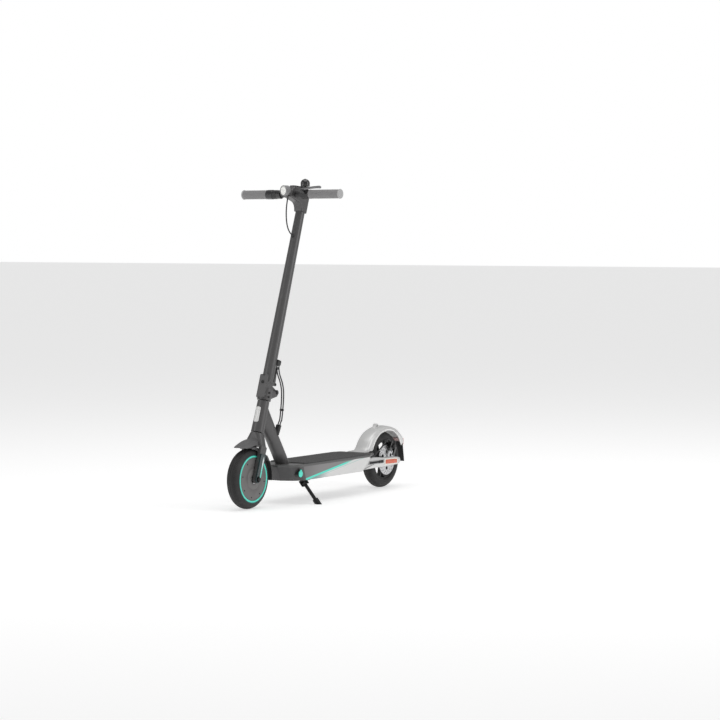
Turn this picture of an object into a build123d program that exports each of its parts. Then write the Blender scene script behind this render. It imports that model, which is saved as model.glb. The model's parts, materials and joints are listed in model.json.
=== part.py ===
# Electric kick scooter, in millimetres. +X is the way it rides, +Y the rider's left, +Z up.
# The origin is on the ground, on the centre plane, halfway along the overall length.
import os
from math import atan2, cos, degrees, radians, sin, tan

from build123d import *

# Overall sizes
OVERALL_LENGTH = 1130.0
OVERALL_WIDTH = 430.0
OVERALL_HEIGHT = 1180.0
WHEELBASE = 880.0
HEAD_TILT = 19.0  # degrees that the steering axis leans back
RAKE = 5.0  # the front axle lies this far ahead of the steering axis

# Clearances
FIT = 0.05  # running clearance of a shaft in its hole, on the radius
GAP = 0.3  # between neighbours that don't touch
SIDE_GAP = 0.5  # beside a moving piece

# Wheels
TYRE_R = 108.0
TYRE_HALF_W = 25.0
TREAD_HALF_W = 9.0
TYRE_WALL = 5.0
BEAD_R = 74.0
BEAD_HALF_W = 16.0
FLANGE_R = 78.5
FLANGE_T = 2.4
RIM_WALL = 4.0
TUBE_WALL = 1.5
AXLE_R = 7.5
BEARING_R = 16.0
BEARING_W = 9.0
AIR_GAP = 0.8
NUT_R = 9.5
NUT_T = 7.0
WASHER_T = 1.2
DISC_R = 58.0
DISC_T = 2.0
DISC_Y = 27.0
REAR_HUB_HALF_W = 22.0
FRONT_BOSS_Y = 28.5

# Fork and head, in the steering frame: u ahead of the axis, w up along it
FORK_INNER_Y = 31.0
FORK_LEG_T = 11.0
FORK_COVER_T = 5.0
FORK_COVER_TOP_W = 92.0
LEG_END_R = 14.0
LEG_TOP_HALF_U = 17.0
CROWN_LOW_W = 122.0
CROWN_TOP_W = 168.0
CROWN_R = 25.0
STEERER_R = 15.0
STEERER_WALL = 3.0
HEAD_LOW_W = 172.0
HEAD_TOP_W = 288.0
HEAD_LOW_R = 24.5
HEAD_TOP_R = 21.5
RACE_R = 19.0
RACE_H = 8.0
FENDER_INNER_R = 112.0
FENDER_WALL = 2.5

# Fold base, hinge and latch
BASE_LOW_W = 292.0
BASE_R = 25.0
SEAT_W = 334.0
EAR_INNER_Y = 12.0
EAR_T = 8.0
HINGE_U = -44.0
HINGE_R = 4.0
KNUCKLE_R = 9.5
PLATE_BACK_U = 22.0
PLATE_T = 5.5
PLATE_TOP_W = 383.0
PLATE_HALF_Y = 17.0
LATCH_U = -34.0
LATCH_W = 361.0
LATCH_PIN_R = 3.0
LATCH_BOSS_R = 6.0
LATCH_HALF_Y = 8.0
LATCH_LENGTH = 68.0
LUG_T = 4.5
FOOT_BLOCK_H = 24.0
SPIGOT_H = 40.0

# Stem and its head
STEM_LOW_W = 388.0
STEM_TOP_W = 1008.0
STEM_LOW_R = 21.0
STEM_TOP_R = 17.0
STEM_WALL = 2.5
HEAD_HALF_Y = 19.0
BAR_U = 73.0
BAR_W = 1051.0
BAR_R = 11.1
BAR_WALL = 2.0
GRIP_R = 16.5
CAP_R = 17.8
CAP_T = 4.0
LEFT_GRIP_Y = 80.0
RIGHT_GRIP_Y = 106.0

# Deck. A distance called D runs back from the front axle.
DECK_LOW_Z = 87.0
DECK_SEAM_Z = 138.0
DECK_TOP_Z = 146.0
MAT_T = 4.0
DECK_HALF_W = 88.0
DECK_WALL = 3.0
NOSE_D = 150.0
NOSE_CHIN = 24.0
NOSE_SEAM_D = 234.0
TAPER_D = 672.0
TAIL_D = 748.0
TAIL_HALF_W = 54.0
COVER_T = 2.5
DOWN_TUBE_R = 24.5
DOWN_TUBE_WALL = 3.0
DOWN_TUBE_D = 216.0
DOWN_TUBE_W = 250.0
PORT_D = 203.0
PORT_Z = 113.0
PORT_R = 8.0
CAP_DISC_R = 12.0

# Rear end
CASTING_HALF_W = 56.0
ARM_INNER_Y = 48.0
ARM_T = 8.0
ARM_HALF_H = 13.0
ARM_START_D = 640.0
ARM_END_D = 899.0
ARM_COVER_T = 26.0
ARM_COVER_WALL = 2.5
REAR_FENDER_HALF_W = 32.0
REAR_FENDER_WALL = 3.0
REFLECTOR_T = 1.6
STAND_D = 262.0
STAND_LEG_R = 6.5
STAND_SPLAY = 40.0
STAND_PIVOT_Y = 66.0
STAND_PIVOT_Z = 73.0
STAND_FOOT_R = 11.0

AXLE_Z = TYRE_R
FRONT_X = OVERALL_LENGTH / 2 - TYRE_R
REAR_X = FRONT_X - WHEELBASE
SIN_T = sin(radians(HEAD_TILT))
COS_T = cos(radians(HEAD_TILT))
STEER_X = FRONT_X - RAKE * COS_T
STEER_Z = AXLE_Z - RAKE * SIN_T
STEER = Location((STEER_X, 0, STEER_Z), (0, -HEAD_TILT, 0))


def world(u, w):
    """The x and z of a point of the steering frame."""
    return STEER_X + u * COS_T - w * SIN_T, STEER_Z + u * SIN_T + w * COS_T


def behind(distance):
    """The x of a place that far behind the front axle."""
    return FRONT_X - distance


def block(x0, x1, y0, y1, z0, z1):
    return Pos((x0 + x1) / 2, (y0 + y1) / 2, (z0 + z1) / 2) * Box(x1 - x0, y1 - y0, z1 - z0)


def rod_x(y, z, r, x0, x1):
    return Pos((x0 + x1) / 2, y, z) * Rot(0, 90, 0) * Cylinder(r, x1 - x0)


def rod_y(x, z, r, y0, y1):
    return Pos(x, (y0 + y1) / 2, z) * Rot(90, 0, 0) * Cylinder(r, y1 - y0)


def rod_z(x, y, r, z0, z1):
    return Pos(x, y, (z0 + z1) / 2) * Cylinder(r, z1 - z0)


def slab(lines, y0, y1):
    """An outline drawn as x and z, with its thickness from y0 to y1."""
    face = make_face([e for line in lines for e in line.edges()])
    return Pos(0, y0, 0) * extrude(Plane.XZ * face, amount=-(y1 - y0))


def turned(points, x=0.0, z=0.0):
    """A solid turned about a line along Y through x, z. The points are radius and y."""
    return Pos(x, 0, z) * revolve(make_face(Polyline(*points, close=True)), Axis.Y)


def group(*shapes):
    """Separate solids kept in one node."""
    return Compound(children=[s for shape in shapes for s in shape.solids()])


def flipped(shape):
    return mirror(shape, about=Plane.XZ)


def pair(shape):
    return group(shape, flipped(shape))


def around(shape, count, x, z, start=0.0):
    """Copies of a shape in a ring about a line along Y."""
    return [Pos(x, 0, z) * Rot(0, start + 360 * n / count, 0) * shape for n in range(count)]


def cable(points, radius, share=0.45):
    """A round cable: straight runs joined by arcs as large as the runs allow."""
    places = [Vector(*p) for p in points]
    radii = []
    for a, b, c in zip(places, places[1:], places[2:]):
        half = radians((b - a).get_angle(c - b)) / 2
        radii.append(share * min((b - a).length, (c - b).length) / tan(half))
    path = FilletPolyline(*points, radius=radii)
    return sweep(Plane(origin=path @ 0, z_dir=path % 0) * Circle(radius), path=path)


# Wheels ---------------------------------------------------------------------------------------
SHOULDER_R = TYRE_R - 16
RIM_SIDE_Y = BEAD_HALF_W + FLANGE_T
DRUM_R = BEAD_R - RIM_WALL


def tyre_side(sign):
    """Outer line of one side wall, from the bead to the tread."""
    return [
        Line((BEAD_R, sign * BEAD_HALF_W), (FLANGE_R + 1, sign * BEAD_HALF_W)),
        ThreePointArc(
            (FLANGE_R + 1, sign * BEAD_HALF_W),
            (FLANGE_R + 5.5, sign * (TYRE_HALF_W - 3.2)),
            (SHOULDER_R, sign * TYRE_HALF_W),
        ),
        ThreePointArc(
            (SHOULDER_R, sign * TYRE_HALF_W),
            (TYRE_R - 5.2, sign * (TYRE_HALF_W - 6.5)),
            (TYRE_R, sign * TREAD_HALF_W),
        ),
    ]


def tyre(x):
    """Tyre, and the air tube inside it."""
    crown_r = TYRE_R - TYRE_WALL - 1
    inner_y = TYRE_HALF_W - TYRE_WALL
    lips = [
        Line((BEAD_R, sign * BEAD_HALF_W), (BEAD_R, sign * (BEAD_HALF_W - TYRE_WALL)))
        for sign in (-1, 1)
    ]
    inside = [
        ThreePointArc(
            (BEAD_R, sign * (BEAD_HALF_W - TYRE_WALL)),
            (SHOULDER_R - 1, sign * inner_y),
            (crown_r, sign * 4),
        )
        for sign in (-1, 1)
    ]
    outline = tyre_side(-1) + tyre_side(1) + lips + inside
    outline.append(Line((TYRE_R, -TREAD_HALF_W), (TYRE_R, TREAD_HALF_W)))
    outline.append(Line((crown_r, -4), (crown_r, 4)))
    section_r = BEAD_HALF_W - TYRE_WALL - 1
    air_tube = Circle(section_r) - Circle(section_r - TUBE_WALL)
    casing = revolve(make_face(outline), Axis.Y)
    inner = revolve(Pos(BEAD_R + section_r, 0) * air_tube, Axis.Y)
    return Pos(x, 0, AXLE_Z) * group(casing, inner)


def bearings(x, outer_y):
    race = turned(
        [
            (AXLE_R, outer_y - BEARING_W),
            (BEARING_R, outer_y - BEARING_W),
            (BEARING_R, outer_y),
            (AXLE_R, outer_y),
        ],
        x,
        AXLE_Z,
    )
    return pair(race)


def axle(x, seat_y):
    """Axle with a washer and nut outside each seat."""
    half = seat_y + WASHER_T + NUT_T + 2
    shaft = rod_y(x, AXLE_Z, AXLE_R - FIT, -half, half)
    bore = rod_y(x, AXLE_Z, AXLE_R - FIT, seat_y - 1, half + 1)
    washer = rod_y(x, AXLE_Z, NUT_R + 1, seat_y, seat_y + WASHER_T)
    hexagon = extrude(RegularPolygon(NUT_R, 6), NUT_T)
    nut = Pos(x, seat_y + WASHER_T, AXLE_Z) * Rot(-90, 0, 0) * hexagon
    return group(shaft, pair((washer + nut) - bore))


def motor_shell():
    """Drum, rim and right-hand side of the hub motor, with its bearing pocket."""
    pocket_y = FRONT_BOSS_Y - BEARING_W
    return turned(
        [
            (FLANGE_R, -RIM_SIDE_Y),
            (FLANGE_R, -BEAD_HALF_W),
            (BEAD_R, -BEAD_HALF_W),
            (BEAD_R, BEAD_HALF_W),
            (FLANGE_R, BEAD_HALF_W),
            (FLANGE_R, RIM_SIDE_Y),
            (DRUM_R, RIM_SIDE_Y),
            (DRUM_R, -RIM_SIDE_Y + 3),
            (BEARING_R + 5, -pocket_y),
            (BEARING_R, -pocket_y),
            (BEARING_R, -FRONT_BOSS_Y),
            (BEARING_R + 7, -FRONT_BOSS_Y),
            (BEARING_R + 9, -FRONT_BOSS_Y + 2),
            (DRUM_R, -RIM_SIDE_Y),
        ],
        FRONT_X,
        AXLE_Z,
    )


def motor_cover():
    """Left-hand side of the hub motor, let into the drum."""
    pocket_y = FRONT_BOSS_Y - BEARING_W
    return turned(
        [
            (DRUM_R, RIM_SIDE_Y - 3),
            (DRUM_R, RIM_SIDE_Y),
            (BEARING_R + 9, FRONT_BOSS_Y - 2),
            (BEARING_R + 7, FRONT_BOSS_Y),
            (BEARING_R, FRONT_BOSS_Y),
            (BEARING_R, pocket_y),
            (BEARING_R + 5, pocket_y),
        ],
        FRONT_X,
        AXLE_Z,
    )


def motor_stator():
    """Laminated core with wound teeth, fixed to the axle."""
    half = BEAD_HALF_W - 4
    outer_r = DRUM_R - AIR_GAP
    core = rod_y(FRONT_X, AXLE_Z, outer_r, -half, half)
    slot = Pos(outer_r - 9, 0, 0) * Box(20, 2 * half + 2, 5)
    core -= around(slot, 18, FRONT_X, AXLE_Z)
    window = rod_y(30, 0, 9, -half - 1, half + 1)
    core -= around(window, 6, FRONT_X, AXLE_Z)
    return core - rod_y(FRONT_X, AXLE_Z, AXLE_R - FIT, -half - 1, half + 1)


def rear_rim():
    """Cast rim with a hub and five pairs of spokes."""
    well = turned(
        [
            (FLANGE_R, -RIM_SIDE_Y),
            (FLANGE_R, -BEAD_HALF_W),
            (BEAD_R, -BEAD_HALF_W),
            (BEAD_R, BEAD_HALF_W),
            (FLANGE_R, BEAD_HALF_W),
            (FLANGE_R, RIM_SIDE_Y),
            (DRUM_R, RIM_SIDE_Y - 2),
            (DRUM_R, -RIM_SIDE_Y + 2),
        ],
        REAR_X,
        AXLE_Z,
    )
    hub = rod_y(REAR_X, AXLE_Z, BEARING_R + 6, -REAR_HUB_HALF_W, REAR_HUB_HALF_W)
    rim = well + hub
    for lean in (-13, 13):
        spoke = Pos(18, 0, 0) * Rot(0, lean, 0) * Pos(27, 0, 0) * Box(56, 14, 7)
        rim += around(spoke, 5, REAR_X, AXLE_Z, 18)
    pocket_y = REAR_HUB_HALF_W - BEARING_W
    rim -= rod_y(REAR_X, AXLE_Z, BEARING_R, pocket_y, REAR_HUB_HALF_W + 1)
    rim -= rod_y(REAR_X, AXLE_Z, BEARING_R, -REAR_HUB_HALF_W - 1, -pocket_y)
    return rim - rod_y(REAR_X, AXLE_Z, AXLE_R + 2, -REAR_HUB_HALF_W, REAR_HUB_HALF_W)


def brake_disc():
    """Steel rotor with windows and cooling holes, bolted to the hub by a raised centre."""
    disc = rod_y(REAR_X, AXLE_Z, DISC_R, DISC_Y, DISC_Y + DISC_T)
    disc += rod_y(REAR_X, AXLE_Z, BEARING_R + 6, REAR_HUB_HALF_W, DISC_Y)
    window = rod_y(32, 0, 7.0, DISC_Y - 1, DISC_Y + DISC_T + 1)
    disc -= around(window, 6, REAR_X, AXLE_Z, 30)
    for radius, turn in ((45, 0), (52, 10)):
        hole = rod_y(radius, 0, 2.2, DISC_Y - 1, DISC_Y + DISC_T + 1)
        disc -= around(hole, 18, REAR_X, AXLE_Z, turn)
    return disc - rod_y(REAR_X, AXLE_Z, BEARING_R + 1, REAR_HUB_HALF_W - 1, DISC_Y + DISC_T + 1)


# Fork and front mudguard ----------------------------------------------------------------------
FORK_OUTER_Y = FORK_INNER_Y + FORK_LEG_T


def leg_outline(top_w, trim):
    """Outline of a fork leg up to top_w, drawn in by trim."""
    share = top_w / CROWN_LOW_W
    half = LEG_END_R + (LEG_TOP_HALF_U - LEG_END_R) * share - trim
    end_r = LEG_END_R - trim
    return [
        Line((RAKE + end_r, 0), (RAKE * (1 - share) + half, top_w)),
        Line((RAKE * (1 - share) + half, top_w), (RAKE * (1 - share) - half, top_w)),
        Line((RAKE * (1 - share) - half, top_w), (RAKE - end_r, 0)),
        ThreePointArc((RAKE - end_r, 0), (RAKE, -end_r), (RAKE + end_r, 0)),
    ]


def fork():
    """Steerer tube, flared crown and both legs."""
    low = Plane.XY.offset(CROWN_LOW_W) * RectangleRounded(2 * LEG_TOP_HALF_U, 2 * FORK_OUTER_Y, 10)
    top = Plane.XY.offset(CROWN_TOP_W) * RectangleRounded(2 * CROWN_R, 2 * CROWN_R, CROWN_R - 0.5)
    leg = slab(leg_outline(CROWN_LOW_W, 0), FORK_INNER_Y, FORK_OUTER_Y)
    leg -= rod_y(RAKE, 0, AXLE_R - FIT, FORK_INNER_Y - 1, FORK_OUTER_Y + 1)
    body = loft([low, top]) + leg + flipped(leg)
    body += rod_z(0, 0, STEERER_R, CROWN_TOP_W - 5, SEAT_W - 8)
    return STEER * (body - rod_z(0, 0, STEERER_R - STEERER_WALL, CROWN_LOW_W + 26, SEAT_W))


def fork_covers():
    """Plastic covers on the outside of the legs, open round the axle nuts."""
    outer_y = FORK_OUTER_Y + FORK_COVER_T
    cover = slab(leg_outline(FORK_COVER_TOP_W, 1.5), FORK_OUTER_Y, outer_y)
    cover = fillet(cover.faces().sort_by(Axis.Y)[-1].edges(), 2.0)
    cover -= rod_y(RAKE, 0, NUT_R + 1.5, FORK_OUTER_Y - 1, outer_y + 1)
    return STEER * pair(cover)


def wheel_band(x, inner_r, wall, half_w, start, end):
    """A curved plate about a wheel between two angles: 0 is ahead and 90 above."""
    face = Pos(inner_r + wall / 2, 0) * Rectangle(wall, 2 * half_w)
    return Pos(x, 0, AXLE_Z) * Rot(0, -end, 0) * revolve(face, Axis.Y, end - start)


def front_fender():
    """Short mudguard under the crown, with a visor that points ahead of the tyre."""
    band = wheel_band(FRONT_X, FENDER_INNER_R, FENDER_WALL, 27, 80, 150)
    z = AXLE_Z + FENDER_INNER_R - 2
    x = FRONT_X + FENDER_INNER_R * cos(radians(80))
    visor_low = Plane.YZ.offset(x - 8) * (Pos(0, z + 1.5) * Rectangle(54, FENDER_WALL))
    visor_tip = Plane.YZ.offset(FRONT_X + 78) * (Pos(0, AXLE_Z + 118) * Rectangle(16, 1.6))
    stay = rod_z(0, 0, 7, FENDER_INNER_R - 1, CROWN_LOW_W + 20)
    stay = STEER * stay - rod_y(FRONT_X, AXLE_Z, FENDER_INNER_R + 0.5, -30, 30)
    tyre_room = rod_y(FRONT_X, AXLE_Z, FENDER_INNER_R, -40, 40)
    return band + (loft([visor_low, visor_tip]) - tyre_room) + (stay - fork_room())


def fork_room():
    """Space that the crown takes, which the mudguard's stay stops under."""
    return STEER * block(-40, 40, -50, 50, CROWN_LOW_W, CROWN_LOW_W + 60)


def front_flap():
    """Rubber flap that carries the mudguard down behind the wheel."""
    return wheel_band(FRONT_X, FENDER_INNER_R + FENDER_WALL, 2.5, 24, 138, 187)


# Head tube, fold base and latch ---------------------------------------------------------------
HINGE_W = SEAT_W  # the seat is level with the hinge, so the stem's foot lifts straight off it
EAR_OUTER_Y = EAR_INNER_Y + EAR_T
PLATE_FRONT_U = PLATE_BACK_U + PLATE_T
PLATE_LOW_W = BASE_LOW_W + 6


def head_solid(extra=0.0):
    height = HEAD_TOP_W - HEAD_LOW_W
    return Pos(0, 0, HEAD_LOW_W + height / 2) * Cone(HEAD_LOW_R + extra, HEAD_TOP_R + extra, height)


def head_tube():
    tube = head_solid() - rod_z(0, 0, STEERER_R + 1.5, HEAD_LOW_W - 1, HEAD_TOP_W + 1)
    for low_w in (HEAD_LOW_W - 1, HEAD_TOP_W - RACE_H):
        tube -= rod_z(0, 0, RACE_R, low_w, low_w + RACE_H + 1)
    return STEER * tube


def headset_bearings():
    races = []
    for low_w in (HEAD_LOW_W, HEAD_TOP_W - RACE_H):
        race = rod_z(0, 0, RACE_R, low_w, low_w + RACE_H)
        races.append(race - rod_z(0, 0, STEERER_R + FIT, low_w - 1, low_w + RACE_H + 1))
    return STEER * group(*races)


def fold_base():
    """Casting clamped on the steerer: collar, seat, front plate and two rear ears."""
    body = rod_z(0, 0, BASE_R, BASE_LOW_W, SEAT_W)
    body += block(0, PLATE_BACK_U, -PLATE_HALF_Y, PLATE_HALF_Y, PLATE_LOW_W, SEAT_W)
    plate = block(PLATE_BACK_U, PLATE_FRONT_U, -PLATE_HALF_Y, PLATE_HALF_Y, PLATE_LOW_W, PLATE_TOP_W)
    plate = fillet(plate.edges().filter_by(Axis.X).group_by(Axis.Z)[-1], 5)
    body += plate - rod_x(0, PLATE_TOP_W, 6, PLATE_BACK_U - 1, PLATE_FRONT_U + 1)
    corners = [
        (-8, PLATE_LOW_W),
        (-8, SEAT_W),
        (HINGE_U - KNUCKLE_R, HINGE_W),
        (HINGE_U - KNUCKLE_R + 6, HINGE_W - 14),
    ]
    ear = slab([Polyline(*corners, close=True)], EAR_INNER_Y, EAR_OUTER_Y)
    ear += rod_y(HINGE_U, HINGE_W, KNUCKLE_R, EAR_INNER_Y, EAR_OUTER_Y)
    body += ear + flipped(ear)
    body -= rod_y(HINGE_U, HINGE_W, HINGE_R - FIT, -EAR_OUTER_Y - 1, EAR_OUTER_Y + 1)
    return STEER * (body - rod_z(0, 0, STEERER_R, BASE_LOW_W - 1, SEAT_W - 8))


def fold_fasteners():
    """Hinge pin with two heads, the catch bolt in the front plate and the clamp bolts."""
    pin = rod_y(HINGE_U, HINGE_W, HINGE_R - FIT, -EAR_OUTER_Y, EAR_OUTER_Y)
    head = rod_y(HINGE_U, HINGE_W, HINGE_R + 2.5, EAR_OUTER_Y, EAR_OUTER_Y + 2)
    catch = rod_x(0, SEAT_W + 20, 5.5, PLATE_FRONT_U, PLATE_FRONT_U + 2.4)
    collar = rod_z(0, 0, BASE_R, BASE_LOW_W, SEAT_W)
    clamps = [rod_y(8, w, 3.6, PLATE_HALF_Y, BASE_R + 1.5) - collar for w in (303, 319)]
    return STEER * group(pin + head + flipped(head), catch, *[pair(c) for c in clamps])


def stem_foot():
    """Casting at the stem's lower end: knuckle, latch lugs and a spigot for the tube."""
    half = EAR_INNER_Y - SIDE_GAP
    low_w = SEAT_W + GAP
    block_top_w = low_w + FOOT_BLOCK_H
    front_u = PLATE_BACK_U - GAP
    base = block(-18, front_u, -PLATE_HALF_Y, PLATE_HALF_Y, low_w, block_top_w)
    base = fillet(base.edges().filter_by(Axis.Z), 6)
    throat_h = STEM_LOW_W - block_top_w
    throat = Pos(0, 0, block_top_w + throat_h / 2) * Cone(19.0, STEM_LOW_R, throat_h)
    corners = [
        (HINGE_U, HINGE_W - KNUCKLE_R),
        (HINGE_U + 11, low_w),
        (-12, low_w),
        (-12, LATCH_W - LATCH_BOSS_R - 1.5),
        (HINGE_U, HINGE_W + KNUCKLE_R),
    ]
    knuckle = slab([Polyline(*corners, close=True)], -half, half)
    knuckle += rod_y(HINGE_U, HINGE_W, KNUCKLE_R, -half, half)
    lug_y = LATCH_HALF_Y + SIDE_GAP
    lug = rod_y(LATCH_U, LATCH_W, LATCH_BOSS_R, lug_y, lug_y + LUG_T)
    lug += block(LATCH_U, -14, lug_y, lug_y + LUG_T, LATCH_W - LATCH_BOSS_R, LATCH_W + LATCH_BOSS_R)
    foot_r = STEM_LOW_R - STEM_WALL
    body = base + throat + knuckle + lug + flipped(lug)
    body += rod_z(0, 0, foot_r, STEM_LOW_W - 1, STEM_LOW_W + SPIGOT_H)
    body -= rod_z(0, 0, foot_r - 4, STEM_LOW_W - 10, STEM_LOW_W + SPIGOT_H + 1)
    body -= rod_y(HINGE_U, HINGE_W, HINGE_R, -half - 1, half + 1)
    return STEER * (body - rod_y(LATCH_U, LATCH_W, LATCH_PIN_R - FIT, -lug_y - 9, lug_y + 9))


def latch_lever():
    """Lever behind the stem's foot, with a finger hook at its upper end."""
    tip_w = LATCH_W + LATCH_LENGTH
    corners = [
        (LATCH_U + LATCH_BOSS_R, LATCH_W),
        (LATCH_U + LATCH_BOSS_R - 1, tip_w - 8),
        (LATCH_U - 8, tip_w),
        (LATCH_U - 12, tip_w - 4),
        (LATCH_U, tip_w - 16),
        (LATCH_U - 4, LATCH_W + 26),
        (LATCH_U - LATCH_BOSS_R, LATCH_W),
    ]
    body = slab([Polyline(*corners, close=True)], -LATCH_HALF_Y, LATCH_HALF_Y)
    body += rod_y(LATCH_U, LATCH_W, LATCH_BOSS_R, -LATCH_HALF_Y, LATCH_HALF_Y)
    return STEER * (body - rod_y(LATCH_U, LATCH_W, LATCH_PIN_R, -LATCH_HALF_Y - 1, LATCH_HALF_Y + 1))


# Stem, its head and the bar -------------------------------------------------------------------
CABLE_R = 2.4
UPPER_HOLE_W = 912.0
GROMMET_R = 6.0
GUIDE_W = 434.0
LAMP_BACK_D = 252.0
LAMP_FRONT_D = 224.0
LAMP_Z = 1137.0
LAMP_HALF_Y = 14.5
LAMP_HALF_Z = 19.0
LAMP_WALL = 2.5


def stem_radius(w):
    return STEM_LOW_R + (STEM_TOP_R - STEM_LOW_R) * (w - STEM_LOW_W) / (STEM_TOP_W - STEM_LOW_W)


def stem_solid(inset=0.0):
    height = STEM_TOP_W - STEM_LOW_W
    middle = Pos(0, 0, STEM_LOW_W + height / 2)
    return middle * Cone(STEM_LOW_R - inset, STEM_TOP_R - inset, height)


def stem_tube():
    """Tapered tube over the foot's spigot, with a hole in front for the upper cable."""
    tube = stem_solid() - stem_solid(STEM_WALL)
    tube -= rod_z(0, 0, STEM_LOW_R - STEM_WALL, STEM_LOW_W - 1, STEM_LOW_W + SPIGOT_H)
    return STEER * (tube - rod_x(0, UPPER_HOLE_W, GROMMET_R, 5, 40))


def lamp_solid(inset=0.0, back_d=LAMP_BACK_D, front_d=LAMP_FRONT_D):
    face = Ellipse(LAMP_HALF_Y - inset, LAMP_HALF_Z - inset)
    plane = Plane(origin=(behind(back_d), 0, LAMP_Z), x_dir=(0, 1, 0), z_dir=(1, 0, 0))
    return extrude(plane * face, back_d - front_d)


def stem_head():
    """Neck that reaches forward from the stem to the bar and the lamp."""
    low_r = STEM_TOP_R
    outline = [
        Line((-low_r, STEM_TOP_W), (-low_r, 1070)),
        ThreePointArc((-low_r, 1070), (-11, 1089), (4, 1098)),
        Line((4, 1098), (84, 1078)),
        Line((84, 1078), (101, 1058)),
        Line((101, 1058), (101, 1033)),
        Line((101, 1033), (44, 1033)),
        ThreePointArc((44, 1033), (26, 1025), (low_r, STEM_TOP_W)),
        Line((low_r, STEM_TOP_W), (-low_r, STEM_TOP_W)),
    ]
    body = slab(outline, -HEAD_HALF_Y, HEAD_HALF_Y)
    rims = body.edges().filter_by(lambda e: abs(abs(e.center().Y) - HEAD_HALF_Y) < 0.01)
    body = fillet(rims.filter_by(lambda e: e.center().Z > STEM_TOP_W + 1), 6)
    return STEER * (body - rod_y(BAR_U, BAR_W, BAR_R, -30, 30)) - lamp_solid()


DASH_REAR = (4.0, 1098.0)
DASH_FRONT = (84.0, 1078.0)
DASH_TILT = degrees(atan2(DASH_REAR[1] - DASH_FRONT[1], DASH_FRONT[0] - DASH_REAR[0]))
DASH_MIDDLE = Pos((DASH_REAR[0] + DASH_FRONT[0]) / 2, 0, (DASH_REAR[1] + DASH_FRONT[1]) / 2)
DASH = STEER * DASH_MIDDLE * Rot(0, DASH_TILT, 0)
DASH_LENGTH = 76.0
DASH_HALF_Y = 14.5
DASH_T = 4.5
BUTTON_X = -24.0
BUTTON_R = 4.5
BUTTON_TRAVEL = 1.0


def dashboard():
    """Display housing on the neck, with a well for the power button."""
    body = extrude(RectangleRounded(DASH_LENGTH, 2 * DASH_HALF_Y, 12), DASH_T)
    body = fillet(body.faces().sort_by(Axis.Z)[-1].edges(), 1.5)
    return DASH * (body - rod_z(BUTTON_X, 0, BUTTON_R + GAP, 1.0, DASH_T + 1)) - lamp_solid(-GAP)


def power_button():
    low = 1.0 + BUTTON_TRAVEL + 0.2
    return DASH * rod_z(BUTTON_X, 0, BUTTON_R, low, DASH_T + BUTTON_TRAVEL + 0.2)


def headlight_housing():
    shell = lamp_solid()
    shell = fillet(shell.faces().sort_by(Axis.X)[-1].edges(), 1.2)
    return shell - lamp_solid(LAMP_WALL, LAMP_BACK_D - 10, LAMP_FRONT_D - 1)


def headlight_lens():
    lens = lamp_solid(LAMP_WALL, LAMP_BACK_D - 20, LAMP_FRONT_D + 0.5)
    return fillet(lens.faces().sort_by(Axis.X)[-1].edges(), 2.0)


BAR_END_Y = OVERALL_WIDTH / 2 - CAP_T


def handlebar():
    tube = rod_y(BAR_U, BAR_W, BAR_R, -BAR_END_Y, BAR_END_Y)
    return STEER * (tube - rod_y(BAR_U, BAR_W, BAR_R - BAR_WALL, -BAR_END_Y - 1, BAR_END_Y + 1))


def grips():
    """Rubber sleeve on each end of the bar, and the plug that closes it."""
    sleeves = []
    for y0, y1 in ((LEFT_GRIP_Y, BAR_END_Y), (-BAR_END_Y, -RIGHT_GRIP_Y)):
        sleeve = rod_y(BAR_U, BAR_W, GRIP_R, y0, y1)
        sleeve = fillet(sleeve.edges().filter_by(GeomType.CIRCLE), 1.0)
        sleeves.append(sleeve - rod_y(BAR_U, BAR_W, BAR_R, y0 - 1, y1 + 1))
    cap = rod_y(BAR_U, BAR_W, CAP_R, BAR_END_Y, BAR_END_Y + CAP_T)
    cap = fillet(cap.edges().group_by(Axis.Y)[-1], 1.5)
    plug = rod_y(BAR_U, BAR_W, BAR_R - BAR_WALL, BAR_END_Y - 12, BAR_END_Y)
    return STEER * group(*sleeves, pair(cap + plug))


# Controls, in a frame at the bar's centre that keeps +X level ----------------------------------
BAR_X, BAR_Z = world(BAR_U, BAR_W)
BAR = Location((BAR_X, 0, BAR_Z))
BRACKET_Y0 = 50.0
BRACKET_Y1 = LEFT_GRIP_Y - 0.5
BRACKET_R = BAR_R + 5
LEVER = BAR * Rot(0, -33, 0)
LEVER_X = 30.0
LEVER_Y = 64.0
LEVER_HALF_T = 4.0
LEVER_BOSS_R = 7.0
LEVER_PIN_R = 3.0
LEVER_TIP_X = 45.0
LEVER_TIP_Y = 154.0
THROTTLE_Y0 = 79.0
PADDLE_Y0 = 62.0
BELL_Y = 60.0
BELL_R = 17.0
BELL_CENTRE_Z = OVERALL_HEIGHT - BAR_Z - BELL_R
BELL_LOW_Z = BELL_CENTRE_Z - 11.0
BELL_WALL = 2.0
POST_R = 4.0
STRIKER_T = 3.0


def brake_bracket():
    """Clamp on the bar with a clevis for the lever and a post for the bell."""
    room = LEVER_HALF_T + SIDE_GAP
    arm = block(8, LEVER_X + 7, LEVER_Y - 8, LEVER_Y + 8, -LEVER_HALF_T - 5, LEVER_HALF_T + 5)
    arm = fillet(arm.edges().filter_by(Axis.Z).group_by(Axis.X)[-1], 6)
    arm -= block(20, LEVER_X + 10, LEVER_Y - 10, LEVER_Y + 20, -room, room)
    arm -= rod_z(LEVER_X, LEVER_Y, LEVER_PIN_R - FIT, -20, 20)
    body = rod_y(0, 0, BRACKET_R, BRACKET_Y0, BRACKET_Y1) + Rot(0, -33, 0) * arm
    body += rod_z(0, BELL_Y, POST_R + 3, 10, BELL_LOW_Z - 6)
    body += rod_z(0, BELL_Y, POST_R, 10, BELL_CENTRE_Z + 4)
    return BAR * (body - rod_y(0, 0, BAR_R, BRACKET_Y0 - 1, BRACKET_Y1 + 1))


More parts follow.
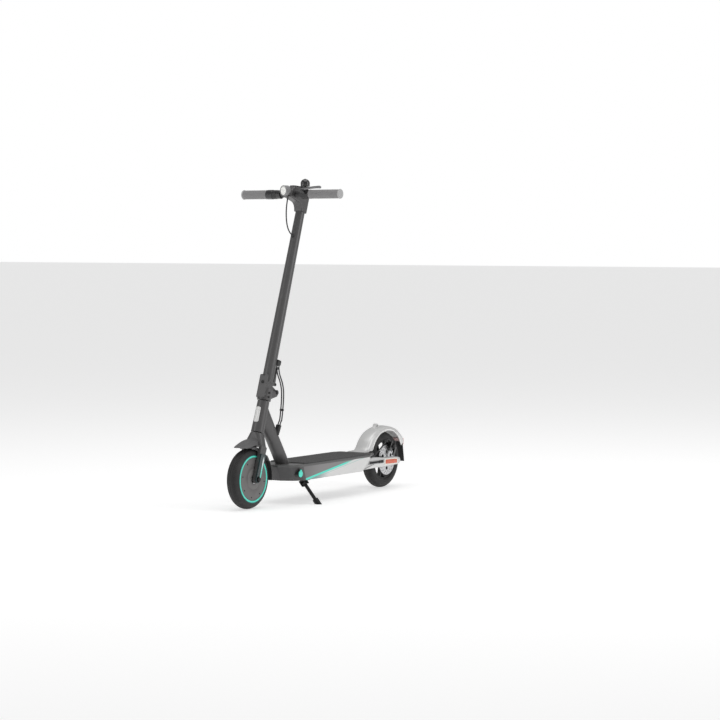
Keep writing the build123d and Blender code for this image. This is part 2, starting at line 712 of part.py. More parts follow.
def brake_lever():
    """Blade that curves out past the grip to a rounded end."""
    boss = Pos(LEVER_X, LEVER_Y) * Circle(LEVER_BOSS_R)
    middle = (LEVER_X + LEVER_TIP_X) / 2 + 5
    line = ThreePointArc(
        (LEVER_X, LEVER_Y), (middle, (LEVER_Y + LEVER_TIP_Y) / 2), (LEVER_TIP_X, LEVER_TIP_Y - 6)
    )
    blade = boss + trace(line, 9) + Pos(LEVER_TIP_X, LEVER_TIP_Y - 6) * Circle(6)
    body = Pos(0, 0, -LEVER_HALF_T) * extrude(blade, 2 * LEVER_HALF_T)
    return LEVER * (body - rod_z(LEVER_X, LEVER_Y, LEVER_PIN_R, -20, 20))


def pivot_pins():
    """Pins of the brake lever and of the latch lever, each with a head."""
    reach = LEVER_HALF_T + 5
    lever_pin = rod_z(LEVER_X, LEVER_Y, LEVER_PIN_R - FIT, -reach, reach)
    lever_pin += rod_z(LEVER_X, LEVER_Y, LEVER_PIN_R + 1.4, reach, reach + 1.5)
    lug_y = LATCH_HALF_Y + SIDE_GAP + LUG_T
    latch_pin = rod_y(LATCH_U, LATCH_W, LATCH_PIN_R - FIT, -lug_y, lug_y)
    head = rod_y(LATCH_U, LATCH_W, LATCH_PIN_R + 1.4, lug_y, lug_y + 1.5)
    return group(LEVER * lever_pin, STEER * (latch_pin + head + flipped(head)))


def bell_dome():
    outer = Pos(0, BELL_Y, BELL_CENTRE_Z) * Sphere(BELL_R) & block(
        -40, 40, BELL_Y - 40, BELL_Y + 40, BELL_CENTRE_Z, BELL_CENTRE_Z + 40
    )
    outer += rod_z(0, BELL_Y, BELL_R, BELL_LOW_Z, BELL_CENTRE_Z)
    return BAR * (outer - rod_z(0, BELL_Y, BELL_R - BELL_WALL, BELL_LOW_Z - 1, BELL_CENTRE_Z + 4))


def bell_striker():
    """Ring on the bell's post with a thumb tab below the dome."""
    low = BELL_LOW_Z - STRIKER_T - 0.6
    face = Pos(0, BELL_Y) * Circle(POST_R + 4) + Pos(-13, BELL_Y) * Rectangle(20, 7)
    face += Pos(-23, BELL_Y) * Circle(5)
    body = Pos(0, 0, low) * extrude(face, STRIKER_T)
    return BAR * (body - rod_z(0, BELL_Y, POST_R + FIT, low - 1, low + STRIKER_T + 1))


def throttle_housing():
    body = rod_y(0, 0, BRACKET_R + 1.5, -RIGHT_GRIP_Y, -THROTTLE_Y0)
    body = fillet(body.edges().filter_by(GeomType.CIRCLE), 2.5)
    body += rod_y(0, 0, BAR_R + 2.5, -THROTTLE_Y0, -PADDLE_Y0 + 8)
    collar = rod_y(0, 0, BRACKET_R, -PADDLE_Y0 + SIDE_GAP, -PADDLE_Y0 + 18)
    body += fillet(collar.edges().filter_by(GeomType.CIRCLE).group_by(Axis.Y)[-1], 2)
    return BAR * (body - rod_y(0, 0, BAR_R, -RIGHT_GRIP_Y - 1, -PADDLE_Y0 + 20))


def throttle_paddle():
    """Thumb paddle: a ring that turns on the housing, with a tongue under the thumb."""
    y0 = -THROTTLE_Y0 + SIDE_GAP
    y1 = -PADDLE_Y0
    body = rod_y(0, 0, BRACKET_R + 0.5, y0, y1)
    tongue = block(-44, -10, y0, y1, -6, -1)
    body += Rot(0, 20, 0) * fillet(tongue.edges().filter_by(Axis.Z), 5)
    return BAR * (body - rod_y(0, 0, BAR_R + 2.5 + FIT, y0 - 1, y1 + 1))


# Cables ---------------------------------------------------------------------------------------
def steer_point(u, y, w):
    x, z = world(u, w)
    return x, y, z


def upper_cable():
    """Upper cable with the bush where it enters the stem, and the lower cables' guide."""
    front_u = stem_radius(UPPER_HOLE_W)
    route = [(92, 1033), (92, 985), (52, UPPER_HOLE_W), (front_u - 3, UPPER_HOLE_W)]
    line = cable([steer_point(u, 0, w) for u, w in route], CABLE_R)
    bush = rod_x(0, UPPER_HOLE_W, GROMMET_R, front_u - 4, front_u + 4)
    bush -= rod_x(0, UPPER_HOLE_W, CABLE_R, front_u - 6, front_u + 6)
    return group(line, STEER * bush, cable_guide())


CABLE_Y = 16.0
CABLE_SPREAD = 4.5
CLIP_U = -98.0
CLIP_W = 284.0
BOOT_H = 132.0  # up the down tube to the middle of the boot that the lower cables enter
BOOT_TILT = 27.0
BOOT_LENGTH = 24.0


def cable_guide():
    """Black guide on the stem that the lower cables leave through."""
    u = -stem_radius(GUIDE_W)
    body = block(u - 6, u + 12, 4, 24, GUIDE_W - 4, GUIDE_W + 14) - stem_solid()
    body = body.solids().sort_by(SortBy.VOLUME)[-1]
    for side in (-1, 1):
        body -= rod_z(u - 2, CABLE_Y + side * CABLE_SPREAD, CABLE_R, GUIDE_W - 5, GUIDE_W + 6)
    return STEER * body


def cable_halves():
    """The two lower cables, each parted at the clip that ties them together."""
    u = -stem_radius(GUIDE_W) - 2
    above = []
    below = []
    ends = [boot_point(rise) for rise in (18, 0)]
    for side in (-1, 1):
        y = CABLE_Y + side * CABLE_SPREAD
        top = [(u, GUIDE_W + 6), (u, GUIDE_W - 22), (-70, 373), (-90, 330), (CLIP_U, CLIP_W)]
        above.append(cable([steer_point(a, y, b) for a, b in top], CABLE_R))
        on = [steer_point(CLIP_U - 0.07, y, CLIP_W - 0.4), steer_point(CLIP_U - 7, y, CLIP_W - 41)]
        below.append(cable(on + [(x, y, z) for x, z in ends], CABLE_R))
    return group(*above), group(*below)


# Down tube and deck ---------------------------------------------------------------------------
DOWN_X, DOWN_Z = behind(DOWN_TUBE_D), DECK_TOP_Z
JOINT_X, JOINT_Z = world(0, DOWN_TUBE_W)
DOWN_TILT = degrees(atan2(JOINT_X - DOWN_X, JOINT_Z - DOWN_Z))
DOWN = Location((DOWN_X, 0, DOWN_Z), (0, DOWN_TILT, 0))
DOWN_LENGTH = (JOINT_Z - DOWN_Z) / cos(radians(DOWN_TILT))
DOWN_STRAIGHT = 115.0


def down_point(across, height):
    """The x and z of a point of the down tube's frame: across it, and up along it."""
    tilt = radians(DOWN_TILT)
    return (
        DOWN_X + across * cos(tilt) + height * sin(tilt),
        DOWN_Z - across * sin(tilt) + height * cos(tilt),
    )


def down_solid():
    low = Plane.XY.offset(DOWN_STRAIGHT) * Circle(DOWN_TUBE_R)
    top = Plane.XY.offset(DOWN_LENGTH) * Ellipse(34, 19)
    return DOWN * (rod_z(0, 0, DOWN_TUBE_R, -40, DOWN_STRAIGHT) + loft([low, top]))


def down_tube():
    """Round tube that rises from the deck and widens where it meets the head tube."""
    bore = rod_z(0, 0, DOWN_TUBE_R - DOWN_TUBE_WALL, -41, DOWN_STRAIGHT)
    body = down_solid() - DOWN * bore
    body -= block(DOWN_X - 200, DOWN_X + 200, -60, 60, DECK_TOP_Z - 100, DECK_TOP_Z)
    body -= STEER * head_solid()
    return body.solids().sort_by(SortBy.VOLUME)[-1]


def boot_point(rise):
    """The x and z of a point above the boot's mouth, along the cables."""
    x, z = down_point(-DOWN_TUBE_R + 4, BOOT_H)
    reach = BOOT_LENGTH + rise
    return x - reach * sin(radians(BOOT_TILT)), z + reach * cos(radians(BOOT_TILT))


def frame_grommet():
    """Rubber boot on the down tube that the lower cables enter."""
    x, z = down_point(-DOWN_TUBE_R + 4, BOOT_H)
    body = block(-7, 7, CABLE_Y - 9, CABLE_Y + 9, -12, BOOT_LENGTH)
    body = fillet(body.edges().filter_by(Axis.Z), 4)
    body = Pos(x, 0, z) * Rot(0, -BOOT_TILT, 0) * body - down_solid()
    return body.solids().sort_by(SortBy.VOLUME)[-1]


def deck_plan(inset=0.0, chin=0.0):
    """Outline of the deck seen from above; chin draws the nose back."""
    half = DECK_HALF_W - inset
    front = behind(NOSE_D) - inset - chin
    points = [
        (front, 22),
        (front - 20, 64 - 0.4 * inset),
        (front - 52, half),
        (behind(TAPER_D), half),
        (behind(TAIL_D) + inset, TAIL_HALF_W - inset),
    ]
    outline = points + [(x, -y) for x, y in reversed(points)]
    face = make_face(Polyline(*outline, close=True))
    nose = face.vertices().filter_by(lambda v: v.X > behind(NOSE_D) - chin - 60)
    return fillet(nose, 16)


NOSE_TOP_D = NOSE_SEAM_D - 8
NOSE_LOW_D = NOSE_SEAM_D + 8
SIDE_END_TOP_D = 680.0
SIDE_END_LOW_D = 620.0
WALL_END_D = 615.0


def seam_space(top_d, low_d, ahead):
    """Everything ahead of, or behind, a slanted plane across the deck."""
    rise = DECK_SEAM_Z - DECK_LOW_Z
    lean = (low_d - top_d) / rise
    far = behind(-200) if ahead else behind(1200)
    corners = [
        (behind(top_d - 40 * lean), DECK_SEAM_Z + 40),
        (behind(low_d + 40 * lean), DECK_LOW_Z - 40),
        (far, DECK_LOW_Z - 40),
        (far, DECK_SEAM_Z + 40),
    ]
    return slab([Polyline(*corners, close=True)], -200, 200)


def under_deck(inset=0.0):
    """The deck's body below its top plate, from the nose to the tail."""
    low = Plane.XY.offset(DECK_LOW_Z) * deck_plan(inset + 1, NOSE_CHIN)
    high = Plane.XY.offset(DECK_SEAM_Z) * deck_plan(inset + 1)
    return loft([low, high], ruled=True)


def deck_shell():
    """Aluminium deck: the top plate, the side walls behind the nose and the rear wall."""
    plate = Pos(0, 0, DECK_SEAM_Z) * extrude(deck_plan(), DECK_TOP_Z - DECK_SEAM_Z)
    plate = fillet(plate.faces().sort_by(Axis.Z)[-1].edges(), 2)
    walls = under_deck() - seam_space(NOSE_TOP_D, NOSE_LOW_D, True)
    walls -= seam_space(SIDE_END_TOP_D, SIDE_END_LOW_D, False)
    inside = under_deck(DECK_WALL) & block(behind(WALL_END_D), behind(100), -200, 200, 0, DECK_SEAM_Z)
    rear_room = block(behind(SIDE_END_TOP_D + 20), behind(WALL_END_D + DECK_WALL), -200, 200, 0, DECK_SEAM_Z)
    rear_room &= block(-600, 600, -CASTING_HALF_W, CASTING_HALF_W, 0, DECK_SEAM_Z)
    return plate + (walls - inside - rear_room)


def nose_block():
    """Plastic nose, hollow for the controller, with a hole for the charging port."""
    body = under_deck() & seam_space(NOSE_TOP_D, NOSE_LOW_D, True)
    inside = under_deck(DECK_WALL) & block(-600, 600, -200, 200, DECK_LOW_Z + DECK_WALL, DECK_SEAM_Z)
    body -= inside
    return body - rod_y(behind(PORT_D), PORT_Z, PORT_R + 3, 50, 120)


def deck_mat():
    start_d = DOWN_TUBE_D + DOWN_TUBE_R / cos(radians(DOWN_TILT)) + 4
    face = deck_plan(5) & Pos((behind(start_d) + behind(705)) / 2, 0) * Rectangle(705 - start_d, 300)
    face = fillet(face.vertices(), 6)
    mat = Pos(0, 0, DECK_TOP_Z) * extrude(face, MAT_T)
    return fillet(mat.faces().sort_by(Axis.Z)[-1].edges(), 1)


SCREW_DS = (310.0, 455.0, 600.0)


def bottom_cover():
    """Plate that closes the deck from below, with the screws that hold it."""
    low_room = under_deck(DECK_WALL) & block(
        behind(WALL_END_D), behind(NOSE_LOW_D), -200, 200, DECK_LOW_Z, DECK_LOW_Z + COVER_T
    )
    screws = []
    for d in SCREW_DS:
        screw = rod_z(behind(d), DECK_HALF_W - 16, 4, DECK_LOW_Z - 1.6, DECK_LOW_Z)
        screws.append(pair(screw))
    return group(low_room, *screws)


BATTERY_LOW_Z = DECK_LOW_Z + COVER_T
BATTERY_TOP_Z = 132.0


def battery_pack():
    pack = block(behind(600), behind(300), -66, 66, BATTERY_LOW_Z, BATTERY_TOP_Z)
    return fillet(pack.edges().filter_by(Axis.X), 6)


def motor_controller():
    """Controller box with cooling ribs, behind the nose."""
    box = block(behind(285), behind(246), -60, 50, BATTERY_LOW_Z, 118)
    for n in range(6):
        box -= block(behind(300), behind(240), -52 + 18 * n, -46 + 18 * n, 114, 119)
    return box


PORT_FACE_Y = 88.5
PIN_X = 5.0
HINGE_DROP = 14.0
CAP_HINGE_Z = PORT_Z + HINGE_DROP


def charging_port():
    """Round socket with a bezel and two lugs for the cap's hinge pin."""
    x = behind(PORT_D)
    body = rod_y(x, PORT_Z, PORT_R + 3, 62, PORT_FACE_Y)
    body += rod_y(x, PORT_Z, CAP_DISC_R + 2, PORT_FACE_Y - 2, PORT_FACE_Y)
    lug = block(x - 8, x - 5.2, PORT_FACE_Y - 1, PORT_FACE_Y + 3.4, CAP_HINGE_Z - 2, CAP_HINGE_Z + 2)
    body += lug + mirror(lug, about=Plane.YZ.offset(x))
    body += block(x - 8, x + 8, PORT_FACE_Y - 2, PORT_FACE_Y, PORT_Z + 10, CAP_HINGE_Z + 2)
    body -= rod_y(x, PORT_Z, PORT_R, 66, PORT_FACE_Y + 1)
    body += rod_x(PORT_FACE_Y + 1.8, CAP_HINGE_Z, 0.9 - FIT, x - 6, x + 6)
    return body - under_deck() + (body & rod_y(x, PORT_Z, PORT_R + 3, 50, PORT_FACE_Y))


def port_cap():
    """Round cap over the socket, hung from a pin above it."""
    x = behind(PORT_D)
    y0 = PORT_FACE_Y + GAP
    body = rod_y(x, PORT_Z, CAP_DISC_R, y0, y0 + 2.6)
    body = fillet(body.edges().group_by(Axis.Y)[-1], 0.8)
    body += block(x - PIN_X + 0.2, x + PIN_X - 0.2, y0 + 0.4, y0 + 2.4, PORT_Z + 8, CAP_HINGE_Z)
    body += rod_x(PORT_FACE_Y + 1.8, CAP_HINGE_Z, 1.5, x - PIN_X + 0.2, x + PIN_X - 0.2)
    return body - rod_x(PORT_FACE_Y + 1.8, CAP_HINGE_Z, 0.9, x - 9, x + 9)


# Rear end -------------------------------------------------------------------------------------
CASTING_END_D = 745.0
ARM_OUTER_Y = ARM_INNER_Y + ARM_T
COVER_Y = ARM_OUTER_Y + ARM_COVER_T


def rear_arms():
    """Casting bolted behind the deck, with an arm on each side of the rear wheel."""
    start_x = behind(WALL_END_D + DECK_WALL)
    body = block(behind(CASTING_END_D), start_x, -CASTING_HALF_W, CASTING_HALF_W, 97, DECK_SEAM_Z)
    body = fillet(body.edges().filter_by(Axis.Y).group_by(Axis.Z)[0], 10)
    arm = block(REAR_X, start_x - 20, ARM_INNER_Y, ARM_OUTER_Y, AXLE_Z - ARM_HALF_H, AXLE_Z + ARM_HALF_H)
    arm += rod_y(REAR_X, AXLE_Z, ARM_HALF_H, ARM_INNER_Y, ARM_OUTER_Y)
    body += arm + flipped(arm)
    return body - rod_y(REAR_X, AXLE_Z, AXLE_R - FIT, -70, 70)


def arm_cover_outline(inset):
    """Outline of an arm's cover, drawn in by inset."""
    end_r = ARM_HALF_H + 1 - inset
    top_z = AXLE_Z + end_r
    return [
        Line((REAR_X, top_z), (behind(790), 124 - inset)),
        Line((behind(790), 124 - inset), (behind(735), 131 - inset)),
        Line((behind(735), 131 - inset), (behind(672) - inset, 131 - inset)),
        Line((behind(672) - inset, 131 - inset), (behind(626) - inset, 91 + inset)),
        Line((behind(626) - inset, 91 + inset), (REAR_X, AXLE_Z - end_r)),
        ThreePointArc((REAR_X, AXLE_Z - end_r), (REAR_X - end_r, AXLE_Z), (REAR_X, top_z)),
    ]


def arm_covers():
    """Hollow covers outside the arms that hide the axle nuts."""
    cover = slab(arm_cover_outline(0), ARM_OUTER_Y, COVER_Y)
    cover = fillet(cover.faces().sort_by(Axis.Y)[-1].edges(), 3)
    cover -= slab(arm_cover_outline(ARM_COVER_WALL), ARM_OUTER_Y - 1, COVER_Y - ARM_COVER_WALL)
    cover -= under_deck(-1.5) - seam_space(SIDE_END_TOP_D, SIDE_END_LOW_D, False)
    return pair(cover)


REFLECTOR_CORNERS = [
    (behind(868), AXLE_Z - 9),
    (behind(786), AXLE_Z - 7),
    (behind(786), AXLE_Z + 11),
    (behind(868), AXLE_Z + 8),
]


def reflectors():
    """White reflector on the head tube and an orange one on each arm's cover."""
    front = block(20, HEAD_LOW_R + 2.4, -9, 9, 207, 262)
    front = fillet(front.edges().filter_by(Axis.X), 6)
    side = slab([Polyline(*REFLECTOR_CORNERS, close=True)], COVER_Y, COVER_Y + REFLECTOR_T)
    return group(STEER * (front - head_solid()), pair(fillet(side.edges().filter_by(Axis.Y), 3)))


CALLIPER_ANGLE = 118.0
CALLIPER = Location((REAR_X, 0, AXLE_Z)) * Rot(0, -CALLIPER_ANGLE, 0)
CALLIPER_R = 56.0
JAW_IN_Y = 20.5
PAD_T = 2.5
CABLE_STOP_Y = 38.0
ARM_STUB_R = 4.0


def brake_calliper():
    """Calliper over the disc, its two pads and the bracket that carries it on the arm."""
    body = block(42, 68, JAW_IN_Y, 42, -17, 17)
    body = fillet(body.edges().filter_by(Axis.Y), 5)
    body -= block(30, DISC_R + 1.5, DISC_Y - PAD_T - GAP, DISC_Y + DISC_T + PAD_T + GAP, -30, 30)
    cylinder = rod_y(CALLIPER_R, 0, 10, DISC_Y + DISC_T + PAD_T + GAP, 44)
    body += cylinder + Pos(CALLIPER_R + 14, CABLE_STOP_Y, -12) * Box(8, 8, 10)
    body -= rod_y(CALLIPER_R, 0, ARM_STUB_R, 40, 45)
    pads = [
        block(44, DISC_R - 1, DISC_Y - PAD_T - GAP, DISC_Y - GAP, -10, 10),
        block(44, DISC_R - 1, DISC_Y + DISC_T + GAP, DISC_Y + DISC_T + PAD_T + GAP, -10, 10),
    ]
    bracket = block(24, 60, 42, ARM_INNER_Y, 6, 17) - cylinder
    bracket = CALLIPER * bracket - rod_y(REAR_X, AXLE_Z, NUT_R + 4, 30, 60)
    return group(CALLIPER * body, CALLIPER * group(*pads), bracket)


def calliper_arm():
    """Arm that the brake cable pulls; its stub turns in the calliper's cylinder."""
    body = rod_y(CALLIPER_R, 0, ARM_STUB_R - FIT, 40.5, 44.3) + rod_y(CALLIPER_R, 0, 6, 44.3, 47.3)
    body += block(CALLIPER_R, CALLIPER_R + 20, 44.3, 47.3, -3, 3)
    body += rod_y(CALLIPER_R + 20, 0, 4.5, 44.3, 47.3)
    return CALLIPER * body


def rear_brake_cable():
    """Outer cable from the casting to the stop on the calliper, along the left arm."""
    end = (CALLIPER * Pos(CALLIPER_R + 14, CABLE_STOP_Y, -17)).position
    before = (CALLIPER * Pos(CALLIPER_R + 14, CABLE_STOP_Y, -42)).position
    route = [
        (behind(CASTING_END_D), CABLE_STOP_Y, 128),
        (behind(CASTING_END_D + 30), CABLE_STOP_Y, 128),
        (before.X, CABLE_STOP_Y, before.Z),
        (end.X, CABLE_STOP_Y, end.Z),
    ]
    return cable(route, CABLE_R)


FENDER_CLEAR_R = 116.0


def fender_outline(inset):
    """Side outline of the rear mudguard down to the wheel's clearance circle."""
    top_z = 240 - inset
    start = (behind(722 + inset), DECK_TOP_Z + 1)
    crest_in = (behind(766 + 0.6 * inset), 196 - 0.8 * inset)
    crest_out = (behind(1003 - 0.8 * inset), 189 - 0.5 * inset)
    in_end = (behind(990), 150)
    return [
        ThreePointArc(start, (behind(744 + inset), 167), crest_in),
        ThreePointArc(crest_in, (REAR_X, top_z), crest_out),
        Line(crest_out, (behind(1003 - inset), 170)),
        Line((behind(1003 - inset), 170), in_end),
        ThreePointArc(in_end, (REAR_X, AXLE_Z + FENDER_CLEAR_R - 20), (behind(770), 150)),
        Line((behind(770), 150), start),
    ]


def rear_fender():
    """Rear mudguard: skin and skirts, a foot on the deck and the hook for the folded bar."""
    half = REAR_FENDER_HALF_W
    body = slab(fender_outline(0), -half, half)
    wall = REAR_FENDER_WALL
    body -= slab(fender_outline(wall), wall - half, half - wall)
    body -= rod_y(REAR_X, AXLE_Z, FENDER_CLEAR_R, -60, 60)
    body -= block(behind(1010), behind(985), wall - half, half - wall, 100, 170)
    foot = block(behind(744), behind(706), -half, half, DECK_TOP_Z, DECK_TOP_Z + 3)
    foot = fillet(foot.edges().filter_by(Axis.Z), 5)
    hook = block(behind(852), behind(836), -7, 7, 220, 250)
    hook -= rod_y(behind(846), 241, 4.5, -10, 10)
    hook = fillet(hook.edges().filter_by(Axis.Y).group_by(Axis.Z)[-1], 3)
    room = slab(fender_outline(wall - 0.2), -half, half)
    body += foot - rod_y(REAR_X, AXLE_Z, FENDER_CLEAR_R, -60, 60)
    return body + (hook - room)


TAIL_X = -OVERALL_LENGTH / 2


def tail_light():
    body = block(TAIL_X, behind(1003), -20, 20, 157, 182)
    return fillet(body.faces().sort_by(Axis.X)[0].edges(), 5)


def rear_flap():
    """Rubber flap that hangs from the mudguard's tail."""
    corners = [
        (behind(1000.2), 152),
        (behind(1010), 92),
        (behind(1013), 92),
        (behind(1003), 156.5),
        (behind(1003), 170),
        (behind(1000.2), 170),
    ]
    body = slab([Polyline(*corners, close=True)], -26, 26)
    return body


# Kickstand, in a frame at its pivot: Z along the hinge, Y down the leg --------------------------
STAND = Location(
    Plane(
        origin=(behind(STAND_D), STAND_PIVOT_Y, STAND_PIVOT_Z),
        x_dir=(1, 0, 0),
        z_dir=(0, cos(radians(STAND_SPLAY)), sin(radians(STAND_SPLAY))),
    )
)
STAND_BOSS_R = 8.0
STAND_BOSS_H = 7.0
STAND_PIN_R = 3.0
STAND_LENGTH = STAND_PIVOT_Z / cos(radians(STAND_SPLAY))


def stand_bracket():
    """Bracket screwed under the deck: a pad, two cheeks and the hinge pin."""
    cheek_in = STAND_BOSS_H + SIDE_GAP
    cheek = block(-10, 10, -16, 8, cheek_in, cheek_in + 4)
    cheek += mirror(cheek, about=Plane.XY)
    web = block(-10, 10, -16, -STAND_BOSS_R - 1, -cheek_in - 4, cheek_in + 4)
    body = STAND * (cheek + web + rod_z(0, 0, STAND_PIN_R - FIT, -cheek_in, cheek_in))
    x = behind(STAND_D)
    body += block(x - 18, x + 18, STAND_PIVOT_Y - 30, STAND_PIVOT_Y + 12, DECK_LOW_Z - 3, DECK_LOW_Z)
    return body - block(x - 60, x + 60, 0, 200, DECK_LOW_Z, DECK_LOW_Z + 60)


def kickstand():
    """Leg with its hinge boss, and the rubber foot that stands flat on the ground."""
    leg = rod_z(0, 0, STAND_BOSS_R, -STAND_BOSS_H, STAND_BOSS_H)
    leg += rod_y(0, 0, STAND_LEG_R, 0, STAND_LENGTH - 8)
    leg -= rod_z(0, 0, STAND_PIN_R, -20, 20)
    foot = rod_y(0, 0, STAND_FOOT_R, STAND_LENGTH - 22, STAND_LENGTH + 14)
    foot -= rod_y(0, 0, STAND_LEG_R, STAND_LENGTH - 30, STAND_LENGTH - 8)
    foot = STAND * foot - block(-600, 600, -200, 400, -100, 0)
    return group(STAND * leg, foot)


CABLES_ABOVE, CABLES_BELOW = cable_halves()
PARTS = {
    "front_tyre": tyre(FRONT_X),
    "motor_shell": motor_shell(),
    "motor_cover": motor_cover(),
    "front_bearings": bearings(FRONT_X, FRONT_BOSS_Y),
    "front_axle": axle(FRONT_X, FORK_OUTER_Y),
    "motor_stator": motor_stator(),
    "fork": fork(),
    "fork_covers": fork_covers(),
    "front_fender": front_fender(),
    "front_flap": front_flap(),
    "head_tube": head_tube(),
    "headset_bearings": headset_bearings(),
    "fold_base": fold_base(),
    "fold_fasteners": fold_fasteners(),
    "stem_foot": stem_foot(),
    "latch_lever": latch_lever(),
    "pivot_pins": pivot_pins(),
    "stem_tube": stem_tube(),
    "stem_head": stem_head(),
    "dashboard": dashboard(),
    "power_button": power_button(),
    "headlight_housing": headlight_housing(),
    "headlight_lens": headlight_lens(),
    "handlebar": handlebar(),
    "grips": grips(),
    "brake_bracket": brake_bracket(),
    "brake_lever": brake_lever(),
    "bell_dome": bell_dome(),
    "bell_striker": bell_striker(),
    "throttle_housing": throttle_housing(),
    "throttle_paddle": throttle_paddle(),
    "upper_cable": upper_cable(),
    "lower_cable_upper": CABLES_ABOVE,
    "lower_cable_lower": CABLES_BELOW,
    "down_tube": down_tube(),
    "frame_grommet": frame_grommet(),
    "deck_shell": deck_shell(),
    "nose_block": nose_block(),
    "deck_mat": deck_mat(),
    "bottom_cover": bottom_cover(),
    "battery_pack": battery_pack(),
    "motor_controller": motor_controller(),
    "charging_port": charging_port(),
    "port_cap": port_cap(),
    "rear_arms": rear_arms(),
    "arm_covers": arm_covers(),
    "reflectors": reflectors(),
    "rear_axle": axle(REAR_X, ARM_OUTER_Y),
    "rear_bearings": bearings(REAR_X, REAR_HUB_HALF_W),
    "rear_rim": rear_rim(),
    "rear_tyre": tyre(REAR_X),
    "brake_disc": brake_disc(),
    "brake_calliper": brake_calliper(),
    "calliper_arm": calliper_arm(),
    "rear_brake_cable": rear_brake_cable(),
    "rear_fender": rear_fender(),
    "tail_light": tail_light(),
    "rear_flap": rear_flap(),
    "stand_bracket": stand_bracket(),
    "kickstand": kickstand(),
}

os.makedirs("parts", exist_ok=True)
for name, shape in PARTS.items():
    export_step(shape, f"parts/{name}.step")
print(len(PARTS), "nodes")
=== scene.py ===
import json
from math import atan2, cos, pi, radians, sin

import bmesh
import bpy
import numpy as np
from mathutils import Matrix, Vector


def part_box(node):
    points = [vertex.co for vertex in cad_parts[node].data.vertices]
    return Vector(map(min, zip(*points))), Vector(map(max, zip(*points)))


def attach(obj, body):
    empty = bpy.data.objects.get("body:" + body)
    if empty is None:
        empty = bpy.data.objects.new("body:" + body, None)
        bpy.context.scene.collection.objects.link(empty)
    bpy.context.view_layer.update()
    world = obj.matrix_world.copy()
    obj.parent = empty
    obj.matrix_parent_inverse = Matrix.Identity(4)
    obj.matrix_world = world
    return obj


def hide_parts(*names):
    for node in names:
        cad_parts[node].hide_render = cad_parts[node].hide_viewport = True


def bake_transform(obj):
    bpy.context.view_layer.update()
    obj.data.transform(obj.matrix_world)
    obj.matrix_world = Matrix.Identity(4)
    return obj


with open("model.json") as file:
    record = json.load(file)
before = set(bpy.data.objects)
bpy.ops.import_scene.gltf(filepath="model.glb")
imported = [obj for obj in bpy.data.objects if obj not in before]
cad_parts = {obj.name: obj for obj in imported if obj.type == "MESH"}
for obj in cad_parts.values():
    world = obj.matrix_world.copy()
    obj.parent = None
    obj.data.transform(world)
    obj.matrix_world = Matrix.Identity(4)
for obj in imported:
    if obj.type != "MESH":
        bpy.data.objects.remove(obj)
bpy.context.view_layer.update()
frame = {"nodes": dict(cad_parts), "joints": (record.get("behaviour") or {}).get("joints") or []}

# An electric kick scooter: +X is the way it rides, +Y the rider's left, +Z up. Sizes below are in millimetres.
mm = 0.001
nodes = frame["nodes"]
joints = {joint["name"]: joint for joint in frame["joints"]}
frontHub = np.array(joints["front_spin"]["pos_m"])
rearHub = np.array(joints["rear_spin"]["pos_m"])
steerAxis = np.array(joints["steer"]["axis"])
jointUp = 0.230  # from the foot of the steering axis to its joint, in metres
steerFoot = np.array(joints["steer"]["pos_m"]) - jointUp * steerAxis
headTilt = atan2(-steerAxis[0], steerAxis[2])
barCentre = (np.array(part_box("handlebar")[0]) + np.array(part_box("handlebar")[1])) / 2
print("frame loaded:", len(nodes), "nodes")


def steered(u, y, w):
    # u ahead of the steering axis, y to the left, w up along the axis
    u, y, w = np.broadcast_arrays(np.asarray(u, float), y, w)
    x = steerFoot[0] + mm * (u * cos(headTilt) - w * sin(headTilt))
    z = steerFoot[2] + mm * (u * sin(headTilt) + w * cos(headTilt))
    return np.stack([x, mm * y, z], -1)


def behindAxle(d, y, z):
    # d back from the front axle, y to the left, z above the ground
    d, y, z = np.broadcast_arrays(np.asarray(d, float), y, z)
    return np.stack([frontHub[0] - mm * d, mm * y, mm * z], -1)


def aboutHub(hub, radius, y, angle):
    # a turned surface about a wheel's axle: angle 0 is ahead and a quarter turn is above
    radius, y, angle = np.broadcast_arrays(np.asarray(radius, float), y, angle)
    return np.stack([hub[0] + mm * radius * np.cos(angle), hub[1] + mm * y,
        hub[2] + mm * radius * np.sin(angle)], -1)


def aboutPole(centre, radius, height, angle):
    # a turned surface about an upright line through centre
    radius, height, angle = np.broadcast_arrays(np.asarray(radius, float), height, angle)
    return np.stack([centre[0] + mm * radius * np.cos(angle), centre[1] + mm * radius * np.sin(angle),
        centre[2] + mm * height], -1)


def sheetOf(grid, closeU=False, closeV=False, capStart=False, capEnd=False):
    # one surface: quads between neighbouring points, wrapped where a direction is closed, with a flat cap where asked
    return {"grid": np.asarray(grid, float), "closeU": closeU, "closeV": closeV, "capStart": capStart,
        "capEnd": capEnd}


